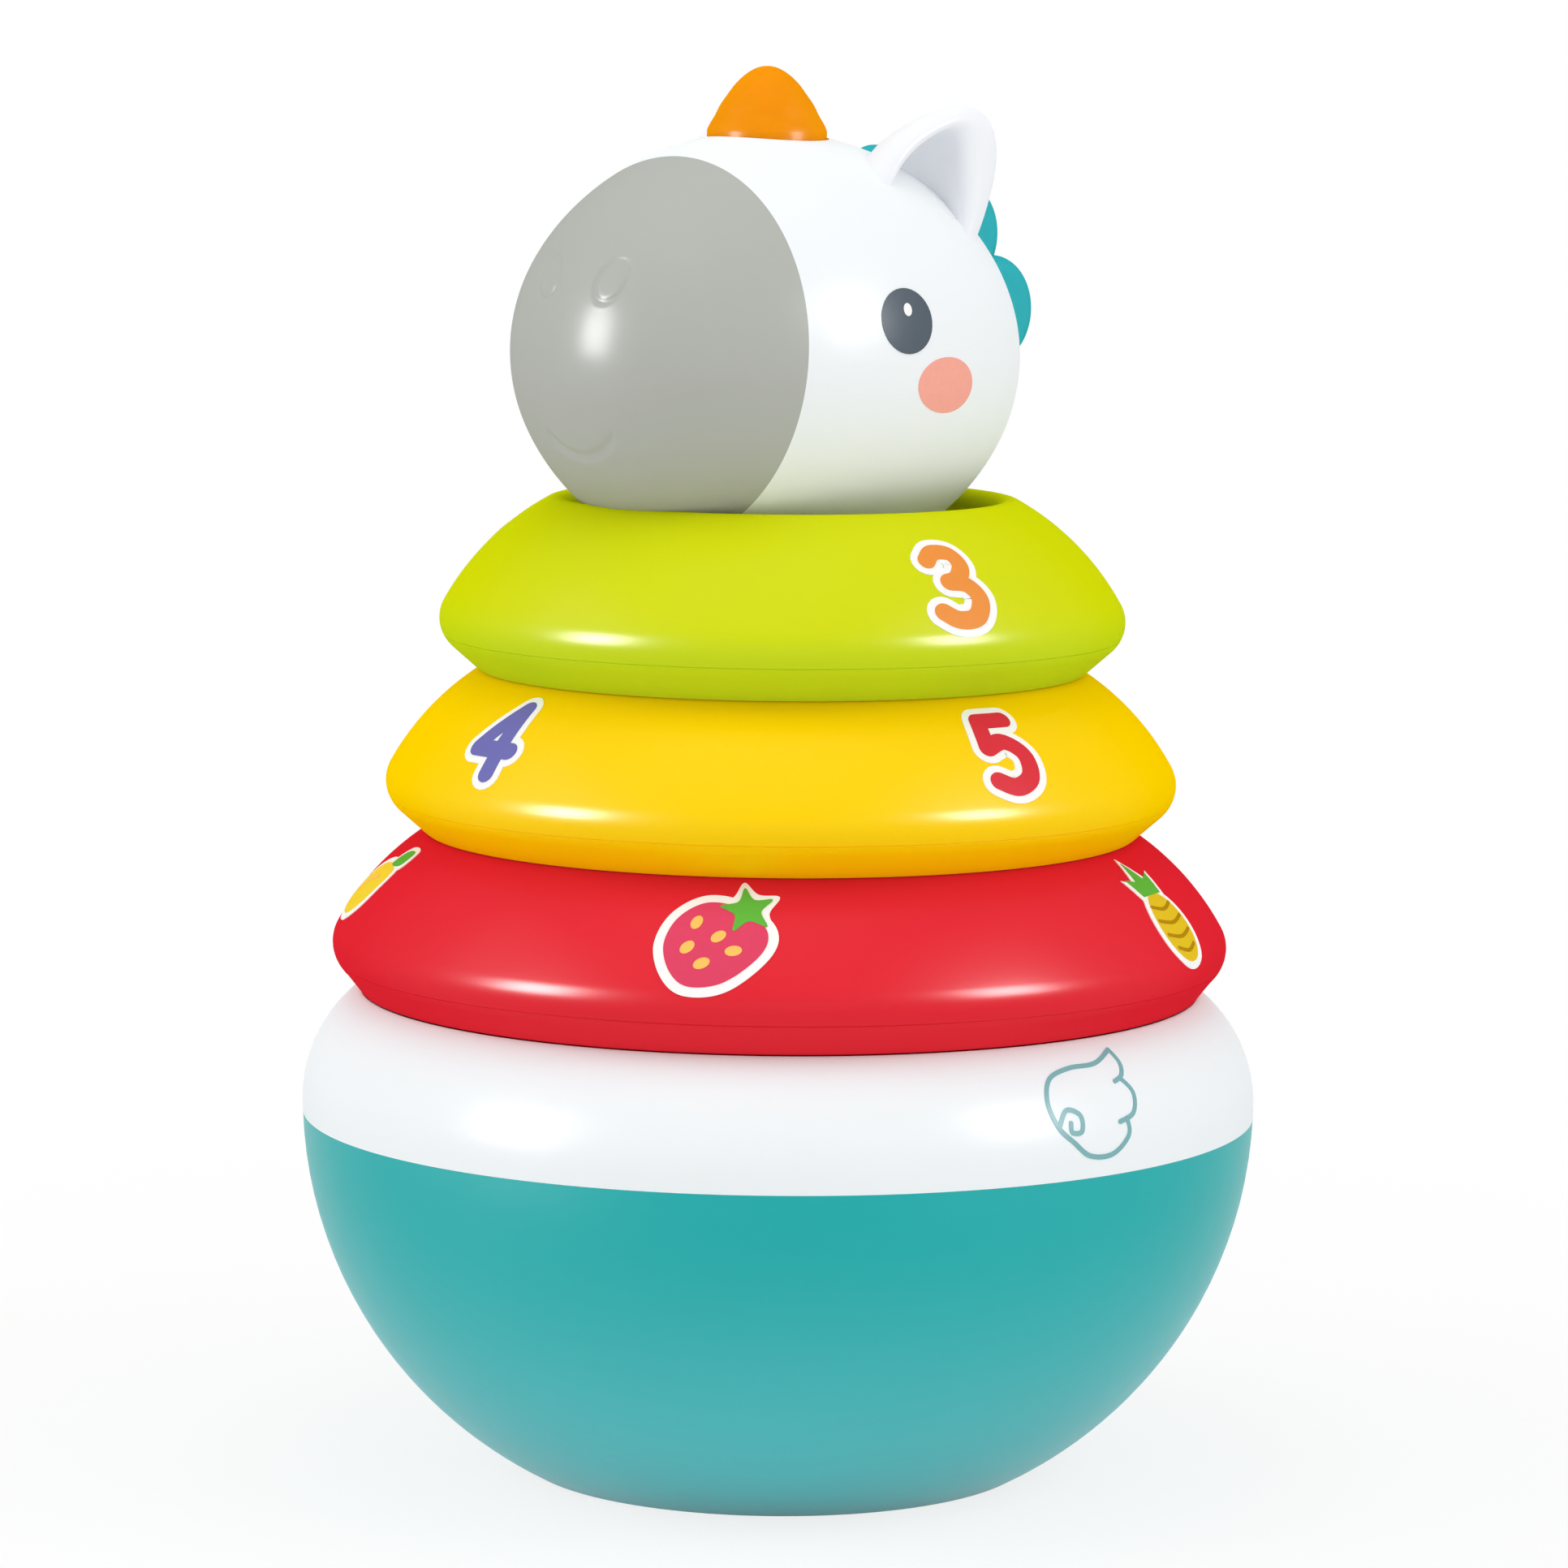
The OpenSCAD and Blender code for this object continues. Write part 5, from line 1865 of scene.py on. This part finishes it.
@dataclass
class Studio:
    """Pale floor, soft lamps and an even white surround.

    Attributes:
        fill: Strength of the even light from all round.
        floor_size: Width of the floor in metres.
        floor_tone: Lightness of the floor.
        floor_drop: Depth of the floor under the foot in metres.
        shadow_near: Distance in metres within which the shadow shows most.
        shadow_far: Distance in metres beyond which the floor is plain white.
        shadow_veil: Share of plain white over the nearest shadow.
        middle_z: Height in metres that the lamps look at.
    """

    fill: float = 0.71
    floor_size: float = 12.0
    floor_tone: float = 0.9
    floor_drop: float = 0.0002
    shadow_near: float = 0.1
    shadow_far: float = 0.34
    shadow_veil: float = 0.8
    middle_z: float = 0.11

    def lamp(
        self,
        name: str,
        azimuth: float,
        rise: float,
        reach: float,
        size: Point,
        power: float,
        card: bool = False,
    ) -> None:
        """Add a soft lamp that looks at the middle of the toy.

        Args:
            name: Name of the lamp.
            azimuth: Its direction in degrees, from -Y towards +X.
            rise: Its direction above the level, in degrees.
            reach: Its distance in metres.
            size: Its width and height in metres.
            power: Its power in watts.
            card: Whether it is a reflection card, seen only as a gloss on the surfaces.
        """
        data = bpy.data.lights.new(name, "AREA")
        data.shape = "RECTANGLE"
        data.size, data.size_y = size
        data.energy = power
        turn, lift = math.radians(azimuth), math.radians(rise)
        way = Vector((math.sin(turn) * math.cos(lift), -math.cos(turn) * math.cos(lift), math.sin(lift)))
        lamp = bpy.data.objects.new(name, data)
        lamp.location = Vector((0.0, 0.0, self.middle_z)) + way * reach
        lamp.rotation_euler = way.to_track_quat("Z", "Y").to_euler()
        lamp.visible_diffuse = not card
        bpy.context.scene.collection.objects.link(lamp)

    def seen(self, tree: bpy.types.NodeTree) -> bpy.types.NodeSocket:
        """Add a mask of the rays that see the surround itself.

        Args:
            tree: Node tree to add it to.

        Returns:
            A socket that is 1 for camera, glossy and transmission rays.
        """
        path = tree.nodes.new("ShaderNodeLightPath").outputs
        mirrored = add_math(tree, "MAXIMUM", path["Is Camera Ray"], path["Is Glossy Ray"])
        return add_math(tree, "MAXIMUM", mirrored, path["Is Transmission Ray"])

    def surround(self) -> None:
        """Make the world: an even fill, seen as plain white."""
        world = bpy.data.worlds.new("white_surround")
        bpy.context.scene.world = world
        world.use_nodes = True
        tree = world.node_tree
        fill = tree.nodes["Background"]
        feed(tree, fill, {"Color": WHITE_LIGHT, "Strength": self.fill})
        white = add_node(tree, "Background", {"Color": WHITE_LIGHT, "Strength": 1.0})
        seen = self.seen(tree)
        choose = add_node(tree, "MixShader", {"Fac": seen, 1: fill.outputs[0], 2: white.outputs[0]})
        feed(tree, tree.nodes["World Output"], {"Surface": choose.outputs[0]})

    def floor(self) -> None:
        """Lay a pale floor that keeps the toy's shadow and fades to white."""
        mesh = bmesh.new()
        bmesh.ops.create_grid(mesh, x_segments=1, y_segments=1, size=self.floor_size / 2)
        data = bpy.data.meshes.new("floor")
        mesh.to_mesh(data)
        mesh.free()
        floor = bpy.data.objects.new("floor", data)
        floor.location.z = -self.floor_drop
        bpy.context.scene.collection.objects.link(floor)
        made = bpy.data.materials.new("pale_floor")
        made.use_nodes = True
        tree = made.node_tree
        tree.nodes.remove(tree.nodes["Principled BSDF"])
        tone = (self.floor_tone, self.floor_tone, self.floor_tone, 1.0)
        matt = add_node(tree, "BsdfDiffuse", {"Color": tone})
        white = add_node(tree, "Emission", {"Strength": 1.0})
        place = tree.nodes.new("ShaderNodeTexCoord").outputs["Object"]
        away = add_node(tree, "VectorMath", {0: place})
        away.operation = "LENGTH"
        reach = (self.shadow_near, self.shadow_far)
        veil = add_smooth_step(tree, away.outputs["Value"], reach, (self.shadow_veil, 1.0))
        both = add_math(tree, "MULTIPLY", veil, self.seen(tree))
        choose = add_node(tree, "MixShader", {"Fac": both, 1: matt.outputs[0], 2: white.outputs[0]})
        feed(tree, tree.nodes["Material Output"], {"Surface": choose.outputs[0]})
        data.materials.append(made)

    def build(self) -> None:
        """Set the view, the surround, the floor and the lamps."""
        bpy.context.scene.view_settings.view_transform = "Standard"
        self.surround()
        self.floor()
        self.lamp("left_softbox", -40.0, 35.0, 1.2, (0.7, 0.6), 2.8)
        self.lamp("right_softbox", 112.0, 40.0, 1.2, (0.7, 0.6), 2.8)
        self.lamp("top_softbox", 20.0, 75.0, 1.2, (0.9, 0.9), 2.6)
        self.lamp("front_softbox", 43.0, 3.0, 1.4, (0.9, 0.5), 1.4)
        self.lamp("left_card", -20.0, 14.0, 1.1, (0.34, 0.44), 90.0, card=True)
        self.lamp("right_card", 104.0, 22.0, 1.1, (0.34, 0.4), 65.0, card=True)


def rings() -> list[Ring]:
    """Set out the three rings with their stickers.

    Returns:
        The rings, from the lowest up.
    """
    fruit = [
        Sticker("strawberry", strawberry, 35.3, 8.6),
        Sticker("pineapple", pineapple, 108.0, 8.4),
        Sticker("grapes", grapes, 180.0, 8.4),
        Sticker("apple", apple, 252.0, 8.4),
        Sticker("lemon", lemon, -38.5, 8.4),
    ]
    high_numbers = [
        Sticker("4", partial(number_sticker, 4, INK_VIOLET), -6.3, 9.3),
        Sticker("5", partial(number_sticker, 5, INK_RED), 80.0, 9.0),
        Sticker("6", partial(number_sticker, 6, INK_GREEN), 171.0, 9.0),
        Sticker("7", partial(number_sticker, 7, INK_TEAL), 262.0, 9.0),
    ]
    low_numbers = [
        Sticker("3", partial(number_sticker, 3, INK_ORANGE), 75.4, 8.0),
        Sticker("1", partial(number_sticker, 1, INK_VIOLET), 188.0, 8.0),
        Sticker("2", partial(number_sticker, 2, INK_RED), 300.0, 8.0),
    ]
    return [
        Ring("red_ring", Body.RED_RING, RED, 70.3, False, fruit),
        Ring("yellow_ring", Body.YELLOW_RING, YELLOW, 62.0, True, high_numbers),
        Ring("lime_ring", Body.LIME_RING, LIME, 53.7, True, low_numbers),
    ]


def main() -> None:
    """Build the camera, the studio and the toy, from the foot up."""
    logging.basicConfig(level=logging.INFO, format="%(name)s: %(message)s")
    PhotoCamera().build()
    Studio().build()
    Base().build()
    for ring in rings():
        ring.build()
    Head().build()
    Horn().build()


if __name__ == "__main__":
    main()
